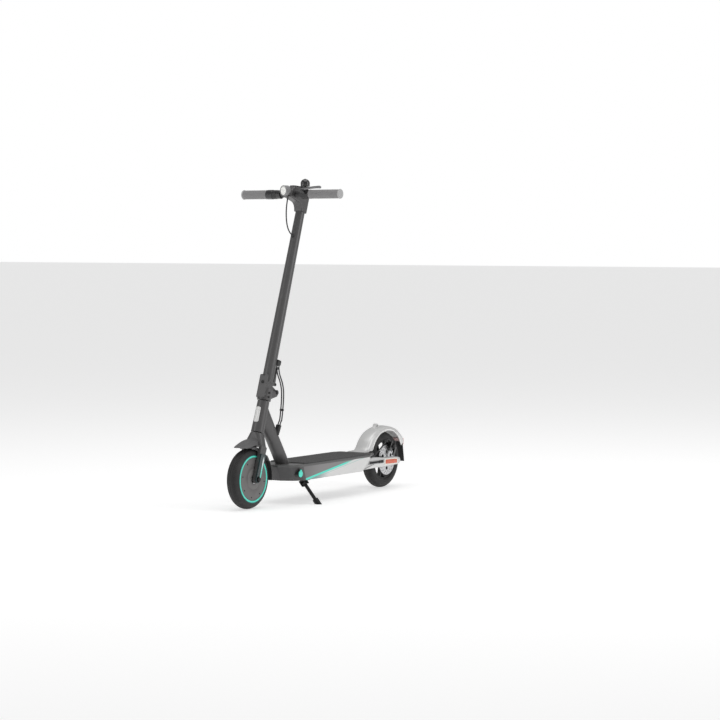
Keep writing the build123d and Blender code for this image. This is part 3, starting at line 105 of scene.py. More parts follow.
def makePiece(name, sheets, sharp=38.0):
    points, faces, start = [], [], 0
    for sheet in sheets:
        grid = sheet["grid"]
        rows, cols = grid.shape[:2]
        index = start + np.arange(rows * cols).reshape(rows, cols)
        low = index if sheet["closeU"] else index[:-1]
        high = np.roll(index, -1, 0) if sheet["closeU"] else index[1:]
        corners = [low, high, np.roll(high, -1, 1), np.roll(low, -1, 1)]
        if not sheet["closeV"]:
            corners = [c[:, :-1] for c in corners]
        faces += np.stack([c.ravel() for c in corners], 1).tolist()
        if sheet["capStart"]:
            faces.append(index[0][::-1].tolist())
        if sheet["capEnd"]:
            faces.append(index[-1].tolist())
        points.append(grid.reshape(-1, 3))
        start += rows * cols
    mesh = bpy.data.meshes.new(name)
    mesh.from_pydata(np.concatenate(points).tolist(), [], faces)
    work = bmesh.new()
    work.from_mesh(mesh)
    bmesh.ops.remove_doubles(work, verts=work.verts, dist=2e-6)
    bmesh.ops.recalc_face_normals(work, faces=work.faces)
    work.to_mesh(mesh)
    work.free()
    mesh.shade_smooth()
    mesh.set_sharp_from_angle(angle=radians(sharp))
    piece = bpy.data.objects.new(name, mesh)
    bpy.context.scene.collection.objects.link(piece)
    return piece


def dress(piece, body, slot, finish, *replaced):
    piece.data.materials.clear()
    piece.data.materials.append(finish)
    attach(piece, body)
    if replaced:
        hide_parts(*replaced)
    return piece


def smoothPath(points, count):
    # Catmull-Rom curve through the points, resampled evenly along its length
    p = np.asarray(points, float)
    ends = np.vstack([2 * p[0] - p[1], p, 2 * p[-1] - p[-2]])
    along = np.linspace(0, len(p) - 1, 60 * len(p))
    i = np.minimum(along.astype(int), len(p) - 2)
    t = (along - i)[:, None]
    a, b, c, d = ends[i], ends[i + 1], ends[i + 2], ends[i + 3]
    curve = 0.5 * (2 * b + (c - a) * t + (2 * a - 5 * b + 4 * c - d) * t**2 + (3 * b - a - 3 * c + d) * t**3)
    length = np.r_[0, np.cumsum(np.linalg.norm(np.diff(curve[:, :2], axis=0), axis=1))]
    even = np.linspace(0, length[-1], count)
    return np.stack([np.interp(even, length, curve[:, k]) for k in range(p.shape[1])], 1)


def roundedOutline(corners, radius, steps=7):
    # closed outline whose corners are parabolas that start a radius before each corner
    p = np.asarray(corners, float)
    radius = np.broadcast_to(np.asarray(radius, float), len(p))[:, None]
    before, after = np.roll(p, 1, 0) - p, np.roll(p, -1, 0) - p
    gapBefore, gapAfter = np.linalg.norm(before, axis=1)[:, None], np.linalg.norm(after, axis=1)[:, None]
    a = p + before / gapBefore * np.minimum(radius, gapBefore * 0.49)
    b = p + after / gapAfter * np.minimum(radius, gapAfter * 0.49)
    t = np.linspace(0, 1, steps)[None, :, None]
    return ((1 - t) ** 2 * a[:, None] + 2 * t * (1 - t) * p[:, None] + t**2 * b[:, None]).reshape(-1, 2)


def insetOutline(outline, inset):
    # the outline moved inwards along its own normals
    ahead = np.roll(outline, -1, 0) - np.roll(outline, 1, 0)
    ahead /= np.maximum(np.linalg.norm(ahead, axis=1), 1e-9)[:, None]
    inward = np.stack([-ahead[:, 1], ahead[:, 0]], 1)
    area = np.sum(outline[:, 0] * np.roll(outline[:, 1], -1) - np.roll(outline[:, 0], -1) * outline[:, 1])
    return outline + inward * (inset if area > 0 else -inset)


def plate(outline, layers, place):
    # a flat part: its outline carried through layers of (inset, height), capped at both ends
    grid = np.stack([place(insetOutline(outline, inset), height) for inset, height in layers])
    return sheetOf(grid, closeV=True, capStart=True, capEnd=True)


def sideways(sign=1):
    # places an outline of (behind the axle, height) with its thickness along the width
    return lambda flat, y: behindAxle(flat[:, 0], sign * y, flat[:, 1])


def pebble(centre, halves, place, square=0.35, rows=17, cols=32):
    # a box with rounded edges: a superellipsoid about centre
    lat = np.linspace(-pi / 2, pi / 2, rows)[:, None]
    lon = np.linspace(0, 2 * pi, cols, endpoint=False)[None, :]
    power = lambda v: np.sign(v) * np.abs(v) ** square
    u = centre[0] + halves[0] * power(np.cos(lat)) * power(np.cos(lon))
    y = centre[1] + halves[1] * power(np.cos(lat)) * power(np.sin(lon))
    w = centre[2] + halves[2] * power(np.sin(lat)) * np.ones_like(lon)
    return sheetOf(place(u, y, w), closeV=True)


def domes(centres, outward, radius, height, sides=12):
    # bolt heads: a shallow dome with a straight edge at each centre
    outward = np.asarray(outward, float) / np.linalg.norm(outward)
    across = np.cross(outward, [0.3, 0.9, 0.31])
    across /= np.linalg.norm(across)
    other = np.cross(outward, across)
    turn = np.linspace(0, 2 * pi, sides, endpoint=False)
    ring = np.cos(turn)[:, None] * across + np.sin(turn)[:, None] * other
    profile = [(1.0, -0.6), (1.0, 0.55), (0.82, 0.9), (0.5, 1.0), (0.42, 1.0), (0.36, 0.55), (0.02, 0.5)]
    rows = [mm * radius * r * ring + mm * height * h * outward for r, h in profile]
    return [sheetOf(np.stack(rows) + np.asarray(c, float), closeV=True, capStart=True,
        capEnd=True) for c in centres]


def link(tree, a, b):
    tree.links.new(a, b)


def newGroup(name, inputs, outputs):
    tree = bpy.data.node_groups.new(name, "ShaderNodeTree")
    for label, kind, value in inputs:
        socket = tree.interface.new_socket(label, in_out="INPUT", socket_type=kind)
        socket.default_value = value
    for label, kind in outputs:
        tree.interface.new_socket(label, in_out="OUTPUT", socket_type=kind)
    return tree, tree.nodes.new("NodeGroupInput"), tree.nodes.new("NodeGroupOutput")


def mathNode(tree, operation, a, b=None, c=None, clamp=False):
    node = tree.nodes.new("ShaderNodeMath")
    node.operation = operation
    node.use_clamp = clamp
    for socket, value in zip(node.inputs, (a, b, c)):
        if value is None:
            continue
        if hasattr(value, "links"):
            tree.links.new(value, socket)
        else:
            socket.default_value = value
    return node.outputs[0]


def mixColour(tree, factor, a, b, blend="MIX"):
    node = tree.nodes.new("ShaderNodeMix")
    node.data_type = "RGBA"
    node.blend_type = blend
    for socket, value in ((node.inputs[0], factor), (node.inputs[6], a), (node.inputs[7], b)):
        if hasattr(value, "links"):
            tree.links.new(value, socket)
        elif socket.type == "RGBA":
            socket.default_value = (*value, 1.0) if len(value) == 3 else value
        else:
            socket.default_value = value
    return node.outputs[2]


def noise(tree, vector, scale, detail=3.0, rough=0.55):
    node = tree.nodes.new("ShaderNodeTexNoise")
    node.inputs["Detail"].default_value = detail
    node.inputs["Roughness"].default_value = rough
    if hasattr(scale, "links"):
        tree.links.new(scale, node.inputs["Scale"])
    else:
        node.inputs["Scale"].default_value = scale
    tree.links.new(vector, node.inputs["Vector"])
    return node.outputs["Fac"]


def buildSurfaceGroup():
    # colour drift, roughness drift, fine grain and a little dust on faces that look up
    tree, given, put = newGroup(
        "moulded surface",
        [("Tone", "NodeSocketColor", (0.1, 0.1, 0.1, 1)), ("Drift", "NodeSocketFloat", 0.1),
            ("Grain Scale", "NodeSocketFloat", 900.0),
         ("Grain Depth", "NodeSocketFloat", 0.2), ("Rough", "NodeSocketFloat", 0.4),
             ("Rough Spread", "NodeSocketFloat", 0.1), ("Dust", "NodeSocketFloat", 0.1)],
        [("Color", "NodeSocketColor"), ("Roughness", "NodeSocketFloat"), ("Normal", "NodeSocketVector")],
    )
    where = tree.nodes.new("ShaderNodeTexCoord").outputs["Object"]
    broad = noise(tree, where, 9.0, 4.0)
    streak = noise(tree, where, 55.0, 5.0, 0.7)
    fine = noise(tree, where, given.outputs["Grain Scale"], 2.0)
    shift = mathNode(tree, "MULTIPLY", mathNode(tree, "SUBTRACT", mathNode(tree, "ADD", broad, streak), 1.0),
        given.outputs["Drift"])
    lighter = mixColour(tree, mathNode(tree, "ABSOLUTE", shift, clamp=True), given.outputs["Tone"],
        (0.55, 0.54, 0.53))
    darker = mixColour(tree,
        mathNode(tree, "MULTIPLY", mathNode(tree, "SUBTRACT", 0.5, streak), given.outputs["Drift"], clamp=True),
        lighter, (0.01, 0.01, 0.01))
    up = tree.nodes.new("ShaderNodeSeparateXYZ")
    link(tree, tree.nodes.new("ShaderNodeNewGeometry").outputs["Normal"], up.inputs[0])
    settled = mathNode(tree, "MULTIPLY",
        mathNode(tree, "MULTIPLY",
        mathNode(tree, "POWER", mathNode(tree, "MAXIMUM", up.outputs["Z"], 0.0), 3.0), streak),
        given.outputs["Dust"], clamp=True)
    link(tree, mixColour(tree, settled, darker, (0.32, 0.31, 0.3)), put.inputs["Color"])
    spread = mathNode(tree, "MULTIPLY", mathNode(tree, "SUBTRACT", streak, 0.5), given.outputs["Rough Spread"])
    link(tree, mathNode(tree, "ADD", mathNode(tree, "ADD", given.outputs["Rough"], spread),
        mathNode(tree, "MULTIPLY", settled, 0.5), clamp=True), put.inputs["Roughness"])
    bump = tree.nodes.new("ShaderNodeBump")
    bump.inputs["Distance"].default_value = 0.0002
    link(tree, given.outputs["Grain Depth"], bump.inputs["Strength"])
    link(tree, fine, bump.inputs["Height"])
    link(tree, bump.outputs["Normal"], put.inputs["Normal"])
    return tree


def buildBandGroup():
    # a straight band across the side of a part: 1 inside, soft at its edges; the line rises with Slope
    tree, given, put = newGroup(
        "sloping band",
        [("Along", "NodeSocketFloat", 0.0), ("Height", "NodeSocketFloat", 0.0),
            ("Start", "NodeSocketFloat", 0.0), ("Level", "NodeSocketFloat", 0.0),
         ("Slope", "NodeSocketFloat", 0.1), ("Half Width", "NodeSocketFloat", 0.004),
             ("Softness", "NodeSocketFloat", 0.0004)],
        [("Band", "NodeSocketFloat"), ("Above", "NodeSocketFloat")],
    )
    line = mathNode(tree, "ADD", given.outputs["Level"],
        mathNode(tree, "MULTIPLY", mathNode(tree, "SUBTRACT", given.outputs["Along"], given.outputs["Start"]),
        given.outputs["Slope"]))
    off = mathNode(tree, "SUBTRACT", given.outputs["Height"], line)
    band = mathNode(tree, "DIVIDE",
        mathNode(tree, "SUBTRACT", given.outputs["Half Width"], mathNode(tree, "ABSOLUTE", off)),
        given.outputs["Softness"], clamp=True)
    link(tree, band, put.inputs["Band"])
    link(tree, mathNode(tree, "DIVIDE", off, given.outputs["Softness"], clamp=True), put.inputs["Above"])
    return tree


surfaceGroup = buildSurfaceGroup()
bandGroup = buildBandGroup()


def newFinish(name, tone, rough, metal=0.0, drift=0.1, grainScale=900.0, grainDepth=0.2, spread=0.12, dust=0.1,
        **shaderValues):
    # a finish: the moulded surface group feeds the shader, and plain numbers sit on the shader itself
    material = bpy.data.materials.new(name)
    material.use_nodes = True
    tree = material.node_tree
    shader = tree.nodes["Principled BSDF"]
    group = tree.nodes.new("ShaderNodeGroup")
    group.node_tree = surfaceGroup
    group.inputs["Tone"].default_value = (*tone, 1)
    for label, value in (("Drift", drift), ("Grain Scale", grainScale), ("Grain Depth", grainDepth),
            ("Rough", rough), ("Rough Spread", spread), ("Dust", dust)):
        group.inputs[label].default_value = value
    link(tree, group.outputs["Color"], shader.inputs["Base Color"])
    link(tree, group.outputs["Roughness"], shader.inputs["Roughness"])
    link(tree, group.outputs["Normal"], shader.inputs["Normal"])
    shader.inputs["Metallic"].default_value = metal
    for label, value in shaderValues.items():
        shader.inputs[label.replace("_", " ")].default_value = value
    return material


def partsOf(material):
    tree = material.node_tree
    shader = tree.nodes["Principled BSDF"]
    group = next(n for n in tree.nodes if n.type == "GROUP" and n.node_tree == surfaceGroup)
    return tree, shader, group


def objectAxes(tree):
    split = tree.nodes.new("ShaderNodeSeparateXYZ")
    link(tree, tree.nodes.new("ShaderNodeTexCoord").outputs["Object"], split.inputs[0])
    return split.outputs


def ramp(tree, value, low, high):
    node = tree.nodes.new("ShaderNodeMapRange")
    node.interpolation_type = "SMOOTHSTEP"
    link(tree, value, node.inputs["Value"])
    node.inputs["From Min"].default_value = low
    node.inputs["From Max"].default_value = high
    return node.outputs["Result"]


def band(tree, along, height, start, level, slope, half, soft=0.0004):
    group = tree.nodes.new("ShaderNodeGroup")
    group.node_tree = bandGroup
    link(tree, along, group.inputs["Along"])
    link(tree, height, group.inputs["Height"])
    for label, value in (("Start", start), ("Level", level), ("Slope", slope), ("Half Width", half),
            ("Softness", soft)):
        group.inputs[label].default_value = value
    return group.outputs


turquoise = (0.1, 0.78, 0.62)
framePaint = newFinish("frame powder coat", (0.088, 0.086, 0.087), 0.4, 0.35, drift=0.08, grainScale=2200,
    grainDepth=0.25, Coat_Weight=0.12, Coat_Roughness=0.3)
hubPaint = newFinish("hub paint", (0.155, 0.15, 0.148), 0.46, 0.25, drift=0.1, grainScale=2600, grainDepth=0.35)
rimPaint = newFinish("rim paint", (0.03, 0.03, 0.031), 0.38, 0.3, drift=0.1, grainScale=2400, grainDepth=0.2)
steelFinish = newFinish("turned steel", (0.56, 0.56, 0.57), 0.27, 1.0, drift=0.05, grainScale=1600,
    grainDepth=0.12, spread=0.2, dust=0.02)
blackSteel = newFinish("black bolt", (0.02, 0.02, 0.021), 0.36, 0.6, drift=0.08, grainScale=2200)
greyPlastic = newFinish("grey moulding", (0.095, 0.094, 0.096), 0.44, 0.0, drift=0.08, grainScale=1900,
    grainDepth=0.3)
rubberFinish = newFinish("rubber", (0.017, 0.017, 0.018), 0.68, 0.0, drift=0.14, grainScale=1300,
    grainDepth=0.4, dust=0.2)
tyreFinish = newFinish("tyre rubber", (0.014, 0.0135, 0.0138), 0.62, 0.0, drift=0.12, grainScale=1100,
    grainDepth=0.5, dust=0.12)
glossBlack = newFinish("gloss black", (0.009, 0.009, 0.01), 0.13, 0.0, drift=0.05, grainScale=700,
    grainDepth=0.03, spread=0.06, dust=0.05, Coat_Weight=0.6, Coat_Roughness=0.06)
lampGrey = newFinish("lamp surround", (0.26, 0.26, 0.262), 0.35, 0.1, drift=0.06, grainScale=2000)
blackPlastic = newFinish("black moulding", (0.016, 0.016, 0.017), 0.4, 0.0, drift=0.08, grainScale=1700,
    grainDepth=0.3)
gripFinish = newFinish("grip rubber", (0.225, 0.222, 0.224), 0.62, 0.0, drift=0.06, grainScale=1500,
    grainDepth=0.35, dust=0.04)
gripEndFinish = newFinish("grip end", (0.42, 0.42, 0.42), 0.4, 0.0, drift=0.05, grainScale=1500)
leverFinish = newFinish("lever metal", (0.2, 0.2, 0.205), 0.3, 0.85, drift=0.06, grainScale=1800,
    grainDepth=0.15, spread=0.18)
cableFinish = newFinish("cable outer", (0.028, 0.028, 0.03), 0.42, 0.0, drift=0.08, grainScale=2400,
    grainDepth=0.2)
silverPaint = newFinish("silver lacquer", (0.66, 0.66, 0.655), 0.33, 0.25, drift=0.03, grainScale=2600,
    grainDepth=0.12, dust=0.03, Coat_Weight=0.35, Coat_Roughness=0.15)
brightTrim = newFinish("bright trim", (0.84, 0.84, 0.83), 0.25, 0.2, drift=0.02, grainScale=2400,
    grainDepth=0.05, dust=0.0, Coat_Weight=0.5)
turquoisePaint = newFinish("turquoise ring", turquoise, 0.4, 0.0, drift=0.03, grainScale=2200, grainDepth=0.15,
    dust=0.0)
darkTeal = newFinish("dark teal edge", (0.012, 0.07, 0.07), 0.4, 0.1, drift=0.05, grainScale=2200)
batteryWrap = newFinish("battery wrap", (0.03, 0.07, 0.22), 0.4, 0.0)
alloyFinish = newFinish("sand cast alloy", (0.45, 0.45, 0.45), 0.5, 0.9, grainScale=1200, grainDepth=0.5)
clearLens = newFinish("clear lens", (0.88, 0.88, 0.85), 0.12, 0.0, drift=0.02, grainScale=500, grainDepth=0.1,
    spread=0.05, dust=0.0, Coat_Weight=0.5)
tailFinish = newFinish("tail lens", (0.8, 0.52, 0.5), 0.16, 0.0, drift=0.04, grainScale=700, grainDepth=0.1,
    dust=0.0, Coat_Weight=0.6)
reflectorWhite = newFinish("white reflector", (0.86, 0.86, 0.85), 0.22, 0.0, drift=0.03, grainScale=900,
    grainDepth=0.1, dust=0.0, Coat_Weight=0.6)
reflectorOrange = newFinish("orange reflector", (0.78, 0.115, 0.035), 0.2, 0.0, drift=0.04, grainScale=900,
    grainDepth=0.1, dust=0.0, Coat_Weight=0.6)
creamBorder = newFinish("reflector border", (0.82, 0.8, 0.72), 0.35, 0.0, drift=0.03)
matFinish = newFinish("deck mat rubber", (0.052, 0.052, 0.053), 0.66, 0.0, drift=0.12, grainScale=1500,
    grainDepth=0.5, dust=0.25)
nosePlastic = newFinish("nose moulding", (0.05, 0.048, 0.05), 0.36, 0.0, drift=0.08, grainScale=2000,
    grainDepth=0.2, Coat_Weight=0.2)
deckPaint = newFinish("deck paint", (0.1, 0.1, 0.1), 0.38, 0.3, drift=0.06, grainScale=2200, grainDepth=0.2,
    Coat_Weight=0.15)
forkCoverPaint = newFinish("fork cover paint", (0.012, 0.03, 0.033), 0.28, 0.1, drift=0.05, grainScale=2200,
    grainDepth=0.12, Coat_Weight=0.4, Coat_Roughness=0.15)


def addPrisms(material, scale, depth):
    # moulded prisms behind a lens: a small square cell pattern in the bump and the colour
    tree, shader, group = partsOf(material)
    cells = tree.nodes.new("ShaderNodeTexVoronoi")
    cells.distance = "CHEBYCHEV"
    cells.inputs["Scale"].default_value = scale
    cells.inputs["Randomness"].default_value = 0.0
    link(tree, tree.nodes.new("ShaderNodeTexCoord").outputs["Object"], cells.inputs["Vector"])
    bump = tree.nodes.new("ShaderNodeBump")
    bump.inputs["Strength"].default_value = depth
    bump.inputs["Distance"].default_value = 0.0005
    link(tree, cells.outputs["Distance"], bump.inputs["Height"])
    link(tree, group.outputs["Normal"], bump.inputs["Normal"])
    link(tree, bump.outputs["Normal"], shader.inputs["Normal"])
    shade = mixColour(tree, mathNode(tree, "MULTIPLY", cells.outputs["Distance"], 0.5, clamp=True),
        group.outputs["Color"], (0.02, 0.01, 0.01))
    link(tree, shade, shader.inputs["Base Color"])


addPrisms(reflectorOrange, 330.0, 0.8)
addPrisms(reflectorWhite, 330.0, 0.35)
addPrisms(tailFinish, 260.0, 0.4)


def paintDeck(material):
    # side wall: grey above a turquoise stripe that climbs to the rear, silver below it; the grey and the silver both
    # run from darker at the front to lighter at the rear, painted shade and painted light over the two-tone paint
    tree, shader, group = partsOf(material)
    axes = objectAxes(tree)
    back = mathNode(tree, "SUBTRACT", float(frontHub[0]), axes["X"])
    side = mathNode(tree, "GREATER_THAN", mathNode(tree, "ABSOLUTE", axes["Y"]), 0.0525)
    low = mathNode(tree, "LESS_THAN", axes["Z"], 0.1375)
    panel = mathNode(tree, "MULTIPLY", side, low)
    main = band(tree, back, axes["Z"], 0.285, 0.0965, 0.144, 0.0042, 0.0012)
    thin = band(tree, back, axes["Z"], 0.285, 0.0885, 0.144, 0.0011, 0.0006)
    silver = mathNode(tree, "SUBTRACT", 1.0, main["Above"], clamp=True)
    # grey paint, painted darker at the front and lighter towards the rear: painted light along the side
    grey = mixColour(tree, ramp(tree, back, 0.2, 0.36), (0.16, 0.155, 0.157), (0.235, 0.23, 0.232))
    # silver paint below the stripe, a darker teal grey at the front turning silver to the rear: painted shade at the
    # front, painted light behind
    skin = mixColour(tree, silver, grey,
        mixColour(tree, ramp(tree, back, 0.3, 0.4), (0.28, 0.34, 0.34), (0.7, 0.7, 0.695)))
    skin = mixColour(tree, mathNode(tree, "MULTIPLY", thin["Band"], 0.55), skin, (0.12, 0.5, 0.45))
    fade = mathNode(tree, "SUBTRACT", 1.0, ramp(tree, back, 0.49, 0.56))
    skin = mixColour(tree, mathNode(tree, "MULTIPLY", main["Band"], fade), skin, turquoise)
    link(tree, mixColour(tree, panel, group.outputs["Color"], skin), shader.inputs["Base Color"])


def paintForkCovers(material):
    # a stripe down the middle of each cover: white at the top, turquoise below
    tree, shader, group = partsOf(material)
    place = tree.nodes.new("ShaderNodeMapping")
    place.vector_type = "TEXTURE"
    place.inputs["Location"].default_value = tuple(float(v) for v in steerFoot)
    place.inputs["Rotation"].default_value = (0, -headTilt, 0)
    link(tree, tree.nodes.new("ShaderNodeTexCoord").outputs["Object"], place.inputs["Vector"])
    split = tree.nodes.new("ShaderNodeSeparateXYZ")
    link(tree, place.outputs["Vector"], split.inputs[0])
    stripe = band(tree, split.outputs["Z"], split.outputs["X"], 0.0, -0.0045, 0.02, 0.0042, 0.0022)
    span = mathNode(tree, "MULTIPLY", ramp(tree, split.outputs["Z"], 0.002, 0.008),
        mathNode(tree, "SUBTRACT", 1.0, ramp(tree, split.outputs["Z"], 0.07, 0.088)))
    shade = mixColour(tree, ramp(tree, split.outputs["Z"], 0.025, 0.068), turquoise, (0.75, 0.82, 0.82))
    link(tree, mixColour(tree, mathNode(tree, "MULTIPLY", stripe["Band"], span), group.outputs["Color"], shade),
        shader.inputs["Base Color"])


paintDeck(deckPaint)
paintForkCovers(forkCoverPaint)
print("finishes made:", len(bpy.data.materials))

finishOf = {
    "motor_shell": rimPaint, "motor_cover": hubPaint, "front_bearings": steelFinish,
        "rear_bearings": steelFinish, "front_axle": blackSteel, "rear_axle": blackSteel,
    "motor_stator": steelFinish, "fork": framePaint, "fork_covers": forkCoverPaint, "front_fender": greyPlastic,
        "front_flap": rubberFinish, "head_tube": framePaint,
    "headset_bearings": blackSteel, "fold_base": framePaint, "fold_fasteners": blackSteel,
        "stem_foot": framePaint, "latch_lever": greyPlastic, "pivot_pins": blackSteel,
    "stem_tube": framePaint, "stem_head": framePaint, "dashboard": glossBlack, "power_button": blackPlastic,
        "headlight_housing": lampGrey, "headlight_lens": clearLens,
    "handlebar": blackPlastic, "grips": gripFinish, "brake_bracket": blackPlastic, "brake_lever": leverFinish,
        "bell_dome": glossBlack, "bell_striker": blackPlastic,
    "throttle_housing": glossBlack, "throttle_paddle": blackPlastic, "upper_cable": cableFinish,
        "lower_cable_upper": cableFinish, "lower_cable_lower": cableFinish,
    "rear_brake_cable": cableFinish, "frame_grommet": rubberFinish, "down_tube": framePaint,
        "deck_shell": deckPaint, "nose_block": nosePlastic, "deck_mat": matFinish,
    "bottom_cover": blackPlastic, "battery_pack": batteryWrap, "motor_controller": alloyFinish,
        "charging_port": blackPlastic, "port_cap": turquoisePaint,
    "rear_arms": blackSteel, "arm_covers": silverPaint, "reflectors": reflectorOrange, "rear_rim": rimPaint,
        "brake_disc": steelFinish, "brake_calliper": glossBlack,
    "calliper_arm": blackSteel, "rear_fender": silverPaint, "tail_light": tailFinish, "rear_flap": rubberFinish,
        "stand_bracket": blackSteel, "kickstand": blackSteel,
    "front_tyre": tyreFinish, "rear_tyre": tyreFinish,
}
for nodeName, finish in finishOf.items():
    nodes[nodeName].data.materials.clear()
    nodes[nodeName].data.materials.append(finish)

tyre = {"crown": 86.0, "height": 22.0, "halfWidth": 25.0, "wrap": 116.0, "groove": 1.5, "blocks": 48,
    "ribs": 96}


def tyreSheet(hub):
    # section: y = halfWidth sin(lean), radius = crown + height cos(lean), less the tread grooves, plus fine ribs on the wall
    turn = np.linspace(0, 2 * pi, 576, endpoint=False)[:, None]
    lean = np.radians(np.linspace(-tyre["wrap"], tyre["wrap"], 87))[None, :]
    y = tyre["halfWidth"] * np.sin(lean) + 0 * turn
    radius = tyre["crown"] + tyre["height"] * np.cos(lean) + 0 * turn
    pitch = turn * tyre["blocks"] / (2 * pi)
    zigzag = 2.0 * (2 * np.abs(pitch % 1 - 0.5) - 0.5)
    middle = np.abs(y - zigzag) < 1.1
    rings = np.abs(np.abs(y) - 8.6 - 0.4 * zigzag) < 0.9
    side = (np.abs(y) > 10) & (np.abs(y) < 18.5) & (((pitch + np.abs(y) / 22) % 0.5) < 0.13)
    radius = radius - tyre["groove"] * np.where(middle | rings | side, 1.0, 0.0)
    wall = np.exp(-(((np.abs(np.degrees(lean)) - 72) / 6.5) ** 2))
    hoop = np.exp(-(((np.abs(np.degrees(lean)) - 88) / 2.0) ** 2)) + 0.8 * np.exp(-(((np.abs(np.degrees(lean)) - 100) / 2.0) ** 2))
    lift = 0.28 * wall * np.cos(turn * tyre["ribs"]) + 0.45 * hoop - 0.45
    y = y + lift * np.sin(lean)
    bead = np.array([(75.0, 20.5), (74.2, 17.0), (74.2, -17.0), (75.0, -20.5)])
    radius = np.hstack([radius, np.repeat(bead[None, :, 0], len(turn), 0)])
    y = np.hstack([y, np.repeat(bead[None, :, 1], len(turn), 0)])
    return sheetOf(aboutHub(hub, radius, y, turn), closeU=True, closeV=True)


def turnedSheets(hub, profile, steps=128, mirrored=True):
    # a closed (radius, y) profile carried round the axle, and its mirror image on the other side
    turn = np.linspace(0, 2 * pi, steps, endpoint=False)[:, None]
    p = np.asarray(profile, float)
    return [sheetOf(aboutHub(hub, p[None, :, 0], sign * p[None, :, 1], turn), closeU=True,
        closeV=True) for sign in ((1, -1) if mirrored else (1,))]


dress(makePiece("frontTyre", [tyreSheet(frontHub)], 50), "front_wheel", "tyre", tyreFinish, "front_tyre")
dress(makePiece("rearTyre", [tyreSheet(rearHub)], 50), "rear_wheel", "tyre", tyreFinish, "rear_tyre")

ringProfile = [(77.6, 22.5), (77.6, 25.2), (78.2, 25.9), (80.6, 26.2), (83.0, 25.9), (83.6, 25.2), (83.6, 22.5)]
edgeProfile = [(83.8, 22.0), (83.8, 25.3), (84.4, 25.8), (86.2, 25.5), (87.2, 24.6), (87.2, 22.0)]
hubProfile = [(77.4, 18.0), (77.4, 24.6), (76.6, 25.3), (74.0, 25.5), (73.2, 25.1), (72.4, 25.5), (56.0, 26.1),
    (38.0, 26.9), (37.2, 26.5), (36.4, 27.0),
              (28.0, 27.5), (25.0, 28.6), (17.5, 28.8), (16.2, 28.2), (16.2, 18.0)]
dress(makePiece("hubRings", turnedSheets(frontHub, ringProfile)), "front_wheel", "turquoise", turquoisePaint)
dress(makePiece("hubRingEdges", turnedSheets(frontHub, edgeProfile)), "front_wheel", "teal_plastic", darkTeal)
dress(makePiece("hubFaces", turnedSheets(frontHub, hubProfile, 144)), "front_wheel", "hub_paint", hubPaint,
    "motor_cover")
boltTurns = np.linspace(0, 2 * pi, 8, endpoint=False) + 0.2
hubBolts = []
for sign in (1, -1):
    hubBolts += domes(aboutHub(frontHub, 66.0, sign * 25.9, boltTurns), (0, sign, 0), 2.6, 0.9)
dress(makePiece("hubBolts", hubBolts), "front_wheel", "dark_steel", blackSteel)
print("wheels made")

# centre line: (ahead of the axle, above it, half width, drop of the edges)
guardLine = [(-99, 60, 26, 5), (-82, 81.5, 27, 6), (-60, 99, 27.5, 7), (-32, 111, 27.5, 8),
    (-8, 116.5, 27.5, 9), (8, 117.5, 27, 10)]
hoodLine = [(-36, 141, 27.5, 22), (-20, 142, 28, 22), (0, 140.5, 28, 21), (20, 136, 27.5, 20),
    (39, 130, 25, 18), (56, 125, 18.5, 11), (69, 121, 11, 5), (78, 118.6, 3.5, 1)]


def guardSheet(line, hub, power=4.0, count=64, across=25):
    # a crowned strip: its edges drop by the fourth power of the distance from the middle
    path = smoothPath(line, count)
    v = np.linspace(-1, 1, across)[None, :]
    bend = np.sin(v * pi / 2 * 0.98) / np.sin(pi / 2 * 0.98)
    step = np.gradient(path[:, :2], axis=0)
    step /= np.linalg.norm(step, axis=1)[:, None]
    inward = np.stack([step[:, 1], -step[:, 0]], 1)
    drop = path[:, 3:4] * np.abs(v) ** power + 1.0 * v**2
    x = path[:, 0:1] + inward[:, 0:1] * drop
    z = path[:, 1:2] + inward[:, 1:2] * drop
    y = path[:, 2:3] * bend
    return sheetOf(np.stack([hub[0] + mm * x, mm * y, hub[2] + mm * z], -1))


def thicken(piece, thickness, bevel=0.0):
    wall = piece.modifiers.new("wall", "SOLIDIFY")
    wall.thickness = thickness * mm
    wall.offset = -1
    wall.use_even_offset = False
    if bevel:
        edge = piece.modifiers.new("edge", "BEVEL")
        edge.width = bevel * mm
        edge.segments = 2
        edge.limit_method = "ANGLE"
        edge.angle_limit = radians(50)
        edge.harden_normals = False
    return piece


def faceUp(piece, towards):
    # an open sheet's normals are turned to look away from a point
    mesh = piece.data
    centre = np.array([f.center for f in mesh.polygons])
    normal = np.array([f.normal for f in mesh.polygons])
    if np.sum(np.sum((centre - np.asarray(towards)) * normal, 1)) < 0:
        mesh.flip_normals()
    return piece


frontGuard = faceUp(makePiece("frontMudguard",
    [guardSheet(guardLine, frontHub), guardSheet(hoodLine, frontHub, 2.2)]), frontHub)
dress(thicken(frontGuard, 2.2, 0.5), "steering", "grey_plastic", greyPlastic, "front_fender")
stayTurn = np.linspace(0, 2 * pi, 24, endpoint=False)[None, :]
stayW = np.array([112.0, 124.0])[:, None]
stay = sheetOf(steered(4 + 9 * np.cos(stayTurn) + 0 * stayW, 9 * np.sin(stayTurn) + 0 * stayW,
    stayW + 0 * stayTurn), closeV=True, capStart=True, capEnd=True)
dress(makePiece("mudguardStay", [stay]), "steering", "grey_plastic", greyPlastic)

guardArch = [(704, 150.6), (722, 152.5), (739, 162), (763, 193), (790, 215), (822, 229), (858, 237),
    (899, 238.5), (951, 226), (990, 202.5), (1008, 186), (1013, 171)]
guardShape = {"halfWidth": 33.0, "shoulder": 15.0, "skirtRadius": 115.5, "wall": 2.6}


